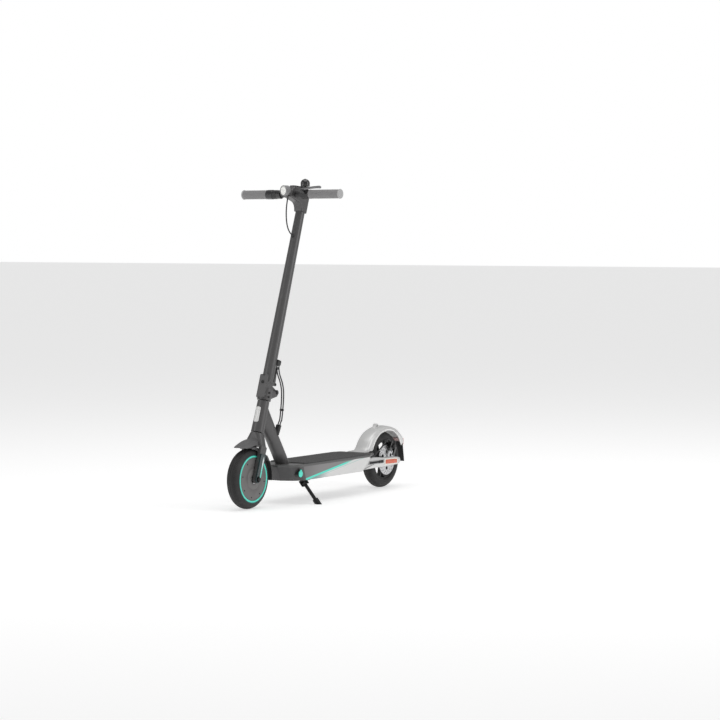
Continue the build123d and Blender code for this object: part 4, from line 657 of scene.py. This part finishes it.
def archFrame(count):
    # the arch's crown line, the way down towards the wheel, and how far the skirt goes
    path = smoothPath(guardArch, count)
    crown = behindAxle(path[:, 0], 0.0, path[:, 1])
    down = rearHub - crown
    reach = np.linalg.norm(down, axis=1)
    down /= reach[:, None]
    depth = np.maximum(reach / mm - guardShape["skirtRadius"], 6.0)
    floorZ = 0.1502
    room = (crown[:, 2] - floorZ) / np.maximum(-down[:, 2], 1e-3) / mm
    depth = np.where(path[:, 0] < 772, np.minimum(depth, np.maximum(room, 0.6)), depth)
    return crown, down, depth, path


def rearGuardSheet(count=120):
    # section: skirt, quarter-round shoulder, slightly domed crown, shoulder, skirt
    crown, down, depth, path = archFrame(count)
    half, shoulder = guardShape["halfWidth"], guardShape["shoulder"]
    quarter = np.linspace(0, pi / 2, 8)
    flat = np.linspace(-1, 1, 11)[1:-1] * (half - shoulder)
    radius = np.minimum(shoulder, depth * 0.98)[:, None]
    skirt = np.linspace(1, 0, 9)[None, :-1]
    skirtDown = radius + (depth[:, None] - radius) * skirt
    sideY = -half + 0 * skirtDown
    shoulderDown = radius * (1 - np.sin(quarter))[None, :]
    shoulderY = -half + shoulder * (1 - np.cos(quarter))[None, :] + 0 * radius
    dome = 1.6 * (1 - (flat / (half - shoulder)) ** 2)[None, :] + 0 * radius
    left = np.hstack([sideY, shoulderY])
    leftDown = np.hstack([skirtDown, shoulderDown + 1.6])
    y = np.hstack([left, flat[None, :] + 0 * radius, -left[:, ::-1]])
    drop = np.hstack([leftDown, 1.6 - dome, leftDown[:, ::-1]])
    flare = 1 + 0.12 * np.clip((740 - path[:, 0]) / 36, 0, 1) ** 2
    narrow = 1 - 0.12 * np.clip((path[:, 0] - 960) / 53, 0, 1)
    grid = crown[:, None, :] + mm * drop[:, :, None] * down[:, None, :]
    grid[:, :, 1] = mm * y * (flare * narrow)[:, None]
    return sheetOf(grid)


rearGuard = faceUp(makePiece("rearMudguard", [rearGuardSheet()], 60), rearHub)
dress(thicken(rearGuard, guardShape["wall"], 0.5), "frame", "silver_plastic", silverPaint, "rear_fender")


def trimSheets():
    # a bright bead along each skirt's lower edge
    crown, down, depth, path = archFrame(90)
    keep = path[:, 0] > 742
    base = (crown + mm * depth[:, None] * down)[keep]
    inward = down[keep]
    turn = np.linspace(0, 2 * pi, 12, endpoint=False)[None, :]
    sheets = []
    for sign in (1, -1):
        y = sign * mm * (guardShape["halfWidth"] + 0.4 + 1.5 * np.cos(turn)) + 0 * base[:, 0:1]
        narrow = 1 - 0.12 * np.clip((path[keep, 0] - 960) / 53, 0, 1)
        grid = base[:, None, :] + mm * 2.6 * (np.sin(turn)[:, :, None] - 0.6) * inward[:, None, :]
        grid[:, :, 1] = y * narrow[:, None]
        sheets.append(sheetOf(grid, closeV=True, capStart=True, capEnd=True))
    return sheets


dress(makePiece("mudguardTrim", trimSheets()), "frame", "silver_plastic", brightTrim)

hookOuter = roundedOutline([(830, 229), (836, 248.5), (853, 249.5), (862, 236), (858, 230)], [2, 8, 8, 4, 2])


def hookSheets():
    # a loop with an eye: the outer outline and a round eye, joined across both faces
    centre = np.array([846.5, 240.0])
    start = np.arctan2(hookOuter[:, 1] - centre[1], hookOuter[:, 0] - centre[0])
    eye = centre + 4.6 * np.stack([np.cos(start), np.sin(start)], 1)
    rows = [(hookOuter, 6.0), (insetOutline(hookOuter, 1.0), 7.0), (eye + (eye - centre) * 0.15, 7.0),
        (eye, 6.4)]
    rows += [(eye, -6.4), (eye + (eye - centre) * 0.15, -7.0), (insetOutline(hookOuter, 1.0), -7.0),
        (hookOuter, -6.0)]
    return [sheetOf(np.stack([behindAxle(flat[:, 0], y, flat[:, 1]) for flat, y in rows]), closeU=True,
        closeV=True)]


dress(makePiece("foldHook", hookSheets()), "frame", "silver_plastic", silverPaint)
print("mudguards made")

mat = {"startD": 248.0, "endD": 705.0, "half": 83.0, "lowZ": 146.0, "topZ": 149.2, "rib": 0.75, "pitch": 5.2}
matD = np.concatenate([[mat["startD"], mat["startD"]], np.linspace(mat["startD"] + 1.5, mat["endD"] - 1.5, 46),
    [mat["endD"], mat["endD"]]])
matZ = np.full(len(matD), mat["topZ"])
matZ[[0, -1]] = mat["lowZ"]
matZ[[1, -2]] = mat["topZ"] - 0.9
across = np.concatenate([[-1.0, -1.0], np.linspace(-0.985, 0.985, 331), [1.0, 1.0]])
halfAt = np.interp(matD, [mat["startD"], mat["startD"] + 14, 668, 705],
    [mat["half"] - 8, mat["half"], mat["half"], mat["half"] - 15])
matY = halfAt[:, None] * across[None, :]
ribs = mat["rib"] * np.clip(1.6 * np.cos(matY / mat["pitch"] * 2 * pi), -0.7, 1.0)
ends = np.clip(np.minimum(matD - mat["startD"] - 9, mat["endD"] - 9 - matD) / 4, 0, 1)[:, None]
inside = ends * np.clip((halfAt[:, None] - 6 - np.abs(matY)) / 2, 0, 1)
matHeight = matZ[:, None] + np.where(matZ[:, None] == mat["topZ"], ribs * inside, 0)
matHeight[:, [0, -1]] = mat["lowZ"]
matHeight[:, [1, -2]] = np.minimum(matHeight[:, [1, -2]], mat["topZ"] - 0.9)
matTop = behindAxle(matD[:, None] + 0 * matY, matY, matHeight)
dress(makePiece("deckMat", [sheetOf(matTop)], 60), "frame", "mat_rubber", matFinish, "deck_mat")

grip = {"radius": 16.5, "capRadius": 17.8, "leftStart": 80.0, "rightStart": 106.0, "end": 211.0}


def aroundBar(radius, y, turn):
    radius, y, turn = np.broadcast_arrays(np.asarray(radius, float), y, turn)
    return np.stack([barCentre[0] + mm * radius * np.cos(turn), mm * y,
        barCentre[2] + mm * radius * np.sin(turn)], -1)


def gripSheet(start, end, sign):
    # a sleeve with a raised collar at its inner end and fine rings along it
    along = np.linspace(0, 1, 240)
    y = start + (end - start) * along
    edge = np.clip(np.minimum(y - start, end - y) / 1.6, 0, 1)
    radius = grip["radius"] - 1.5 * (1 - np.sqrt(1 - (1 - edge) ** 2))
    collar = np.exp(-(((y - start - 4) / 3.2) ** 4))
    rings = 0.22 * np.cos((y - start) / 3.4 * 2 * pi) * np.clip((y - start - 12) / 4, 0,
        1) * np.clip((end - 6 - y) / 4, 0, 1)
    radius = radius + 0.8 * collar - 0.35 + rings
    turn = np.linspace(0, 2 * pi, 64, endpoint=False)[None, :]
    outer = aroundBar(radius[:, None], sign * y[:, None], turn)
    inner = aroundBar(11.2, sign * np.array([end, start])[:, None], turn)
    return sheetOf(np.concatenate([outer, inner]), closeU=True, closeV=True)


def endCapSheet(sign):
    profile = np.array([(11.0, 208.5), (16.4, 209.5), (17.6, 211.2), (17.8, 213.0), (17.0, 214.4),
        (15.6, 215.0), (14.8, 214.6), (13.8, 214.2), (7.0, 214.4), (0.2, 214.5)])
    turn = np.linspace(0, 2 * pi, 64, endpoint=False)[None, :]
    return sheetOf(aroundBar(profile[:, 0:1], sign * profile[:, 1:2], turn), closeV=True, capStart=True,
        capEnd=True)


dress(makePiece("gripSleeves",
    [gripSheet(grip["leftStart"], grip["end"], 1), gripSheet(grip["rightStart"], grip["end"], -1)]), "stem",
    "grip_rubber", gripFinish, "grips")
dress(makePiece("gripEnds", [endCapSheet(1), endCapSheet(-1)]), "stem", "grip_rubber", gripEndFinish)
print("deck mat and grips made")

cable = {"radius": 2.4, "sides": 14, "spread": 4.5, "y": 16.0}


def splineCurve(name, points, radius):
    # an order 3 NURBS curve whose control points are the route's points
    data = bpy.data.curves.new(name, "CURVE")
    data.dimensions = "3D"
    spline = data.splines.new("NURBS")
    spline.points.add(len(points) - 1)
    spline.points.foreach_set("co", np.hstack([points, np.ones((len(points), 1))]).ravel())
    spline.order_u = 3
    spline.use_endpoint_u = True
    spline.resolution_u = 24
    data.bevel_depth = radius * mm
    data.bevel_resolution = 4
    data.use_fill_caps = True
    piece = bpy.data.objects.new(name, data)
    bpy.context.scene.collection.objects.link(piece)
    return piece


def tubeSheet(path, radius, sides):
    # a tube round a path that keeps to one upright plane along the length
    step = np.gradient(path, axis=0)
    step /= np.linalg.norm(step, axis=1)[:, None]
    normal = np.stack([-step[:, 2], 0 * step[:, 0], step[:, 0]], 1)
    turn = np.linspace(0, 2 * pi, sides, endpoint=False)
    ring = np.cos(turn)[None, :, None] * normal[:, None, :] + np.sin(turn)[None, :,
        None] * np.array([0, 1.0, 0])
    return sheetOf(path[:, None, :] + mm * radius * ring, closeV=True, capStart=True, capEnd=True)


upperRoute = steered(np.array([92.0, 92.0, 52.0, 15.27]), 0.0, np.array([1033.0, 985.0, 912.0, 912.0]))
upperCable = splineCurve("upperCable", upperRoute, cable["radius"])


def splinePath(piece):
    depth = piece.data.bevel_depth
    piece.data.bevel_depth = 0
    line = bpy.data.meshes.new_from_object(piece)
    piece.data.bevel_depth = depth
    path = np.zeros(len(line.vertices) * 3)
    line.vertices.foreach_get("co", path)
    return path.reshape(-1, 3)


upperPath = splinePath(upperCable)
upperCable.data.materials.append(cableFinish)
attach(upperCable, "stem")
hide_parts("upper_cable")

bushTurn = np.linspace(0, 2 * pi, 32, endpoint=False)[None, :]
bushProfile = np.array([(2.4, 14.0), (6.4, 14.0), (7.6, 18.6), (7.2, 20.4), (5.2, 22.2), (3.4, 24.6),
    (2.4, 24.8)])
bush = steered(bushProfile[:, 1:2] + 0 * bushTurn, bushProfile[:, 0:1] * np.cos(bushTurn),
    912 + bushProfile[:, 0:1] * np.sin(bushTurn))
dress(makePiece("cableBush", [sheetOf(bush, closeU=True, closeV=True)]), "stem", "rubber", rubberFinish)
dress(makePiece("cableGuide", [pebble((-18, 15, 439), (11, 11, 10), steered, 0.4)]), "stem", "black_plastic",
    blackPlastic)

clip = {"u": -98.0, "w": 284.0}
guide = {"u": -22.7, "w": 434.0}
downTube = {"x": 241.0, "z": 146.0, "tilt": radians(33.43)}
boot = {"across": -20.5, "height": 132.0, "lean": radians(27), "length": 24.0, "rises": (18.0, 0.0)}


def downPoint(across, height):
    # x and z of a point across the down tube and up along it
    x = downTube["x"] + across * cos(downTube["tilt"]) + height * sin(downTube["tilt"])
    return x, downTube["z"] - across * sin(downTube["tilt"]) + height * cos(downTube["tilt"])


def bootPoint(rise):
    # x and z of a point above the boot's mouth, along the cables
    x, z = downPoint(boot["across"], boot["height"])
    reach = boot["length"] + rise
    return x - reach * sin(boot["lean"]), z + reach * cos(boot["lean"])


def lowerCables(name, points, node):
    # two tubes side by side along one spline
    sheets = []
    route = splineCurve(name + "Route", points, cable["radius"])
    path = splinePath(route)
    bpy.data.objects.remove(route)
    for side in (-1, 1):
        own = path.copy()
        own[:, 1] = mm * (cable["y"] + side * cable["spread"])
        sheets.append(tubeSheet(own, cable["radius"], cable["sides"]))
    piece = makePiece(name, sheets, 60)
    piece.data.materials.append(cableFinish)
    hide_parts(node)
    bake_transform(piece)
    return path


upperEnd = steered(np.array([guide["u"], guide["u"], -70.0, -90.0, clip["u"]]), cable["y"],
    np.array([guide["w"] + 6, guide["w"] - 22, 373.0, 330.0, clip["w"]]))
entry = [bootPoint(rise) for rise in boot["rises"]]
lowerEnd = np.vstack([steered(np.array([clip["u"], clip["u"] - 7]), cable["y"],
    np.array([clip["w"], clip["w"] - 41])), [[mm * x, mm * cable["y"], mm * z] for x, z in entry]])
lowerCables("lowerCablesAbove", upperEnd, "lower_cable_upper")
lowerCables("lowerCablesBelow", lowerEnd, "lower_cable_lower")
dress(makePiece("cableClip", [pebble((clip["u"], cable["y"], clip["w"]), (3.8, 8.4, 4.0), steered, 0.5)]),
    "steering", "black_plastic", blackPlastic)
print("cables made")

glassOutline = roundedOutline([(-9.5, 206), (9.5, 206), (9.0, 263), (-9.0, 263)], 7)


def onHead(flat, ahead):
    # wraps an outline of (left, up the axis) round the head tube's front
    return steered(np.sqrt(np.maximum((ahead + 23.2) ** 2 - flat[:, 0] ** 2, 0)), flat[:, 0], flat[:, 1])


dress(makePiece("frontReflector", [plate(glassOutline, [(0, -1.0), (0, 2.6), (0.6, 3.4), (2.0, 3.9)], onHead)]),
    "frame", "reflector", reflectorWhite)
cover = {"inner": 56.0, "outer": 82.0, "channelLow": 110.5, "channelHigh": 120.5}
lensOutline = roundedOutline([(868, 100), (787, 102), (787, 118), (868, 115.5)], 5)
frameOutline = roundedOutline([(873, 96.5), (782, 98.5), (782, 121.5), (873, 119)], 8)
for side, label in ((1, "Left"), (-1, "Right")):
    border = plate(frameOutline,
        [(0, cover["outer"] - 1), (0, cover["outer"] + 0.9), (0.8, cover["outer"] + 1.4),
        (2.0, cover["outer"] + 1.4)], sideways(side))
    lens = plate(lensOutline,
        [(0, cover["outer"]), (0, cover["outer"] + 2.1), (0.7, cover["outer"] + 2.7),
        (2.4, cover["outer"] + 2.9)], sideways(side))
    dress(makePiece("reflectorBorder" + label, [border]), "frame", "reflector", creamBorder)
    dress(makePiece("reflectorLens" + label, [lens]), "frame", "reflector", reflectorOrange,
        *(["reflectors"] if side == 1 else []))


coverOutline = roundedOutline([(626, 91), (671, 131.5), (735, 131.5), (790, 124.5), (880, 122.5), (896, 117),
    (896, 99), (880, 94)], [3, 4, 14, 14, 10, 12, 12, 10])
channelOutline = roundedOutline([(664, 108), (672, 121), (776, 119), (776, 106)], [2, 4, 4, 4])


def coverSheets(side):
    # an outer skin with a rounded edge
    outer = plate(coverOutline,
        [(0, cover["inner"] + 0.2), (0, cover["outer"] - 2.5), (0.7, cover["outer"] - 0.8),
        (2.2, cover["outer"])], sideways(side))
    return [outer]


rodTurn = np.linspace(0, 2 * pi, 28, endpoint=False)[None, :]
rodProfile = np.array([(676, 0.2), (676, 3.0), (677, 3.6), (738, 3.6), (739, 4.6), (741, 5.2), (752, 5.2),
    (753.5, 4.4), (755, 5.2), (768, 5.2), (770, 4.2), (770, 0.2)])
for side, label in ((1, "Left"), (-1, "Right")):
    dress(makePiece("armCover" + label, coverSheets(side)), "frame", "silver_plastic", silverPaint,
        *(["arm_covers"] if side == 1 else []))
    groove = plate(channelOutline,
        [(0, cover["outer"] - 1), (0, cover["outer"] + 0.35), (0.6, cover["outer"] + 0.6)], sideways(side))
    dress(makePiece("armChannel" + label, [groove]), "frame", "silver_plastic", lampGrey)
    rod = behindAxle(rodProfile[:, 0:1] + 0 * rodTurn,
        side * (cover["outer"] + 0.4 + 0.75 * rodProfile[:, 1:2] * np.cos(rodTurn)),
        113.4 + rodProfile[:, 1:2] * np.sin(rodTurn))
    dress(makePiece("armRod" + label, [sheetOf(rod, closeV=True)]), "frame", "dark_steel", blackSteel)

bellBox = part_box("bell_dome")
bellCentre = ((bellBox[0][0] + bellBox[1][0]) / 2, (bellBox[0][1] + bellBox[1][1]) / 2, 0.0)
bellTop, bellLow = bellBox[1][2] / mm, bellBox[0][2] / mm
bellR = (bellBox[1][0] - bellBox[0][0]) / 2 / mm
rise = np.radians(np.linspace(0, 84, 15))
bellOuter = np.stack([bellR * np.cos(rise), bellTop - bellR + 0.2 + (bellR - 0.9) * np.sin(rise)], 1)
bellProfile = np.vstack([[(bellR - 2, bellLow + 0.6), (bellR - 0.8, bellLow), (bellR, bellLow + 0.8),
    (bellR, bellLow + 3.4), (bellR - 0.5, bellLow + 3.8), (bellR - 0.5, bellLow + 4.4)], bellOuter,
                         [(2.6, bellTop - 0.7), (2.6, bellTop), (1.6, bellTop), (0.1, bellTop)]])
bellTurn = np.linspace(0, 2 * pi, 64, endpoint=False)[None, :]
dress(makePiece("bellDome",
    [sheetOf(aboutPole(bellCentre, bellProfile[:, 0:1], bellProfile[:, 1:2], bellTurn), closeV=True,
    capStart=True, capEnd=True)], 50), "stem", "gloss_black", glossBlack, "bell_dome")

lever = {"lean": radians(-33), "pivotX": 30.0, "pivotY": 64.0, "tipX": 45.0, "tipY": 152.0}


def leverPlace(x, y, z):
    # the lever's own plane, which slopes up ahead of the bar
    x, y, z = np.broadcast_arrays(np.asarray(x, float), y, z)
    return np.stack([barCentre[0] + mm * (x * cos(lever["lean"]) + z * sin(lever["lean"])), mm * y,
        barCentre[2] + mm * (z * cos(lever["lean"]) - x * sin(lever["lean"]))], -1)


bladeLine = smoothPath([(30, 58, 6.6, 3.9), (31, 66, 6.9, 3.9), (36, 84, 5.2, 3.6), (41, 105, 4.9, 3.3),
    (44, 128, 5.2, 3.3), (45, 143, 5.6, 3.6), (45, 151, 5.8, 3.9), (45, 154, 2.6, 2.0)], 60)
bladeTurn = np.linspace(0, 2 * pi, 28, endpoint=False)[None, :]
bladeRound = lambda v: np.sign(v) * np.abs(v) ** 0.75
blade = leverPlace(bladeLine[:, 0:1] + bladeLine[:, 2:3] * bladeRound(np.cos(bladeTurn)),
    bladeLine[:, 1:2] + 0 * bladeTurn, bladeLine[:, 3:4] * bladeRound(np.sin(bladeTurn)))
dress(makePiece("brakeBlade", [sheetOf(blade, closeV=True, capStart=True, capEnd=True)], 60), "lever",
    "lever_metal", leverFinish, "brake_lever")
print("controls made")

cameraData = bpy.data.cameras.new("camera")
cameraData.lens = 117.8
cameraData.sensor_width = 36
camera = bpy.data.objects.new("camera", cameraData)
camera.location = (7.2557, 4.8952, 0.9722)
camera.rotation_euler = Vector((-0.8386 * cos(radians(3.01)), -0.5449 * cos(radians(3.01)),
    -sin(radians(3.01)))).to_track_quat("-Z", "Y").to_euler()
bpy.context.scene.collection.objects.link(camera)
bpy.context.scene.camera = camera

floorMesh = bpy.data.meshes.new("floor")
floorMesh.from_pydata([(-60, -60, 0), (60, -60, 0), (60, 60, 0), (-60, 60, 0)], [], [(0, 1, 2, 3)])
floor = bpy.data.objects.new("floor", floorMesh)
bpy.context.scene.collection.objects.link(floor)
floorFinish = newFinish("studio floor", (0.7, 0.7, 0.7), 0.7, 0.0, drift=0.0, grainScale=40, grainDepth=0.0,
    spread=0.02, dust=0.0)
floorFinish.node_tree.nodes["Principled BSDF"].inputs["Emission Color"].default_value = (1, 1, 1, 1)
floorFinish.node_tree.nodes["Principled BSDF"].inputs["Emission Strength"].default_value = 0.5
floorMesh.materials.append(floorFinish)


def softbox(name, place, aim, size, power):
    data = bpy.data.lights.new(name, "AREA")
    data.shape = "RECTANGLE"
    data.size, data.size_y = size
    data.energy = power
    light = bpy.data.objects.new(name, data)
    light.location = place
    light.rotation_euler = (Vector(aim) - Vector(place)).to_track_quat("-Z", "Y").to_euler()
    bpy.context.scene.collection.objects.link(light)


softbox("overhead", (0.2, 0.4, 4.2), (0, 0, 0.3), (3.6, 3.6), 62)
softbox("leftSide", (-0.9, 4.4, 2.4), (0, 0, 0.45), (1.6, 3.2), 52)
softbox("frontSide", (4.4, -2.2, 1.9), (0.1, 0, 0.5), (1.2, 3.0), 34)
world = bpy.data.worlds.new("studio")
world.use_nodes = True
ambient = world.node_tree.nodes["Background"]
ambient.inputs["Color"].default_value = (1, 1, 1, 1)
ambient.inputs["Strength"].default_value = 0.4
backdrop = world.node_tree.nodes.new("ShaderNodeBackground")
backdrop.inputs["Color"].default_value = (1, 1, 1, 1)
backdrop.inputs["Strength"].default_value = 1.0
seen = world.node_tree.nodes.new("ShaderNodeLightPath")
either = world.node_tree.nodes.new("ShaderNodeMixShader")
link(world.node_tree, seen.outputs["Is Camera Ray"], either.inputs[0])
link(world.node_tree, ambient.outputs[0], either.inputs[1])
link(world.node_tree, backdrop.outputs[0], either.inputs[2])
link(world.node_tree, either.outputs[0], world.node_tree.nodes["World Output"].inputs["Surface"])
bpy.context.scene.world = world
bpy.context.scene.view_settings.view_transform = "Standard"
print("camera, lights and floor made")
